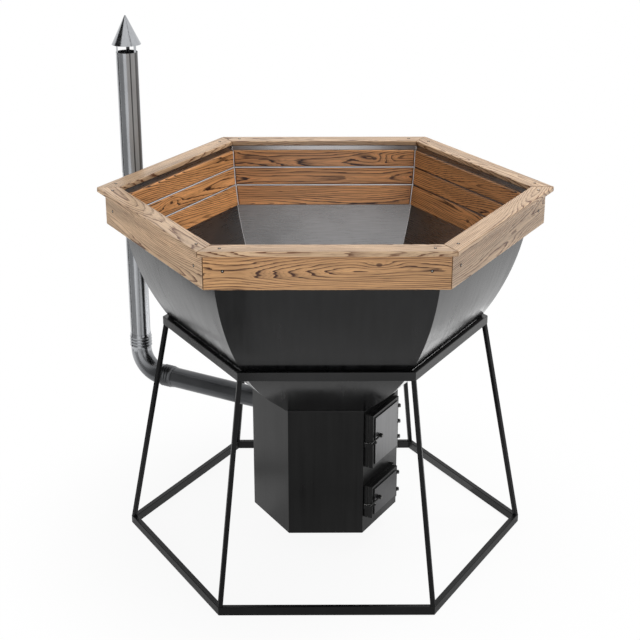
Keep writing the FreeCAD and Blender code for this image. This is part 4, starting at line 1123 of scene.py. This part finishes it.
def bare_material(name):
    """A new material with no shader yet, its tree, and the socket that takes one."""
    material = bpy.data.materials.new(name)
    material.use_nodes = True
    tree = material.node_tree
    tree.nodes.clear()
    return material, tree, tree.nodes.new("ShaderNodeOutputMaterial").inputs["Surface"]


def white_floor():
    material, tree, surface = bare_material("studio floor")
    lit = tree.nodes.new("ShaderNodeBsdfDiffuse")
    lit.inputs["Color"].default_value = FLOOR_GREY
    glow = tree.nodes.new("ShaderNodeEmission")
    mix = tree.nodes.new("ShaderNodeMixShader")
    reach = vector_length(tree, read_place(tree))
    glow_share = spread(tree, reach, SHADOW_NEAR, SHADOW_FAR, GLOW_SHARE, 1.0, True)
    feed(tree, mix.inputs["Fac"], maths(tree, "MULTIPLY", seen_directly(tree), glow_share))
    feed(tree, mix.inputs[1], lit.outputs[0])
    feed(tree, mix.inputs[2], glow.outputs[0])
    feed(tree, surface, mix.outputs[0])
    return material


floor_mesh = bpy.data.meshes.new("studio_floor")
floor_corners = [(x * FLOOR_HALF, y * FLOOR_HALF, 0) for x, y in ((-1, -1), (1, -1), (1, 1), (-1, 1))]
floor_mesh.from_pydata(floor_corners, [], [(0, 1, 2, 3)])
floor_mesh.materials.append(white_floor())
studio_floor = added("studio_floor", floor_mesh)

SKY_LIGHT = 0.48
world = bpy.data.worlds.new("white studio")
world.use_nodes = True
bpy.context.scene.world = world
sky = world.node_tree
feed(sky, sky.nodes["Background"].inputs["Color"], (1, 1, 1, 1))
feed(sky, sky.nodes["Background"].inputs["Strength"],
     spread(sky, seen_directly(sky), 0.0, 1.0, SKY_LIGHT, 1.0))
print("floor and sky set")

# %% [markdown]
# ## Lamps
# A large soft lamp at the upper right is the key: it lights the tops of the boards and the left inner wall,
# and leaves the right inner wall in shade. A weaker one at the left front fills the shadows. Neither is
# mirrored in the steel, which would show them as hard white patches. A third is the other way round: mirror
# rays alone see it, and it brightens the bare steel of the back wall.

# %% Lamps
def soft_lamp(name, place, target, size, watts):
    """A square lamp turned to a target, which mirror rays don't see."""
    lamp = bpy.data.lights.new(name, "AREA")
    lamp.shape = "SQUARE"
    lamp.size = size
    lamp.energy = watts
    holder = added(name, lamp)
    holder.location = place
    holder.rotation_euler = (Vector(target) - Vector(place)).to_track_quat("-Z", "Y").to_euler()
    holder.visible_glossy = False
    return holder


RIM_MIDDLE = (0, 0, 1.4)
LEFT_OF_MIDDLE = (-0.3, 0.1, 1.4)
BACK_WALL = (0, 1, 1.21)
STRIP_HEIGHT = 0.46
soft_lamp("key lamp", (2.6, 0.5, 6.2), LEFT_OF_MIDDLE, size=1.9, watts=205)
soft_lamp("fill lamp", (-2.6, -4.8, 1.1), RIM_MIDDLE, size=1.4, watts=84)
strip = soft_lamp("strip lamp", (0, -0.40, 1.21), BACK_WALL, size=0.62, watts=2.2)
strip.data.shape = "RECTANGLE"
strip.data.size_y = STRIP_HEIGHT
strip.visible_diffuse = False
strip.visible_glossy = True
print("lamps: 3")

# %% [markdown]
# ## Cards
# Bright steel shows only what is around it, and an all-white studio makes it look flat. Photographers set
# up cards out of view: dark ones at a distance draw lines down a pipe, and pale ones on the floor lighten
# the wall above. Mirror rays alone see these cards, so they take no light from the vat and never show in
# the picture.

# %% Cards
def card(name, corners, grey):
    """A card with four corners, which shows only in reflections."""
    mesh = bpy.data.meshes.new(name)
    mesh.from_pydata(corners, [], [(0, 1, 2, 3)])
    material, tree, surface = bare_material(name)
    face = tree.nodes.new("ShaderNodeEmission")
    face.inputs["Color"].default_value = (grey, grey, grey, 1)
    feed(tree, surface, face.outputs[0])
    mesh.materials.append(material)
    piece = added(name, mesh)
    piece.visible_camera = False
    piece.visible_diffuse = False
    piece.visible_shadow = False


FACING_CAMERA = math.radians(-82.7)


def round_chimney(turn, reach):
    """A place at a distance from the chimney, turned from the way to the camera; right is positive."""
    x, y = chimney_axis()
    angle = FACING_CAMERA + math.radians(turn)
    return x + reach * math.cos(angle), y + reach * math.sin(angle)


NEAR = 1.6
FAR = 4.0
# Name, turns of its left and right side, distance, lowest and highest point, grey.
STANDING_CARDS = (
    ("middle_card", -4, 14, NEAR, 0.0, 2.6, 0.42), ("side_card", -96, -42, NEAR, 0.0, 2.6, 0.36),
    ("left_edge_card", -120, -100, NEAR, 0.0, 2.6, 0.04), ("hood_card", -112, -52, FAR, 3.1, 6.2, 0.02),
    ("hood_line_card", 41, 48, FAR, 4.4, 6.4, 0.02))
for name, from_turn, to_turn, reach, low, high, grey in STANDING_CARDS:
    left, right = round_chimney(from_turn, reach), round_chimney(to_turn, reach)
    card(name, [(*left, low), (*right, low), (*right, high), (*left, high)], grey)
LYING = 0.002
# Name, left, right, front and back side, grey.
FLOOR_CARDS = (("floor_card", -1.5, 1.5, -3.6, 0.0, 0.66), ("right_floor_card", 0.4, 1.5, 0.3, 1.9, 1.7))
for name, left, right, front, back, grey in FLOOR_CARDS:
    card(name, [(left, front, LYING), (right, front, LYING), (right, back, LYING), (left, back, LYING)], grey)
print("cards:", len(STANDING_CARDS) + len(FLOOR_CARDS))

# %% [markdown]
# ## The camera
# The camera looks down on the rim from in front, a little to the left of the middle, with a long lens.

# %% Camera
CAMERA_PLACE = (-0.0544, -6.073, 3.4737)
CAMERA_DIP = 21.813
CAMERA_YAW = 0.284
LENS = 81.18
SENSOR = 36.0
view = bpy.data.cameras.new("camera")
view.lens = LENS
view.sensor_width = SENSOR
camera = added("camera", view)
camera.location = CAMERA_PLACE
camera.rotation_euler = (math.radians(90 - CAMERA_DIP), 0, math.radians(-CAMERA_YAW))
bpy.context.scene.camera = camera
bpy.context.scene.view_settings.view_transform = "Standard"
print("camera at", CAMERA_PLACE)
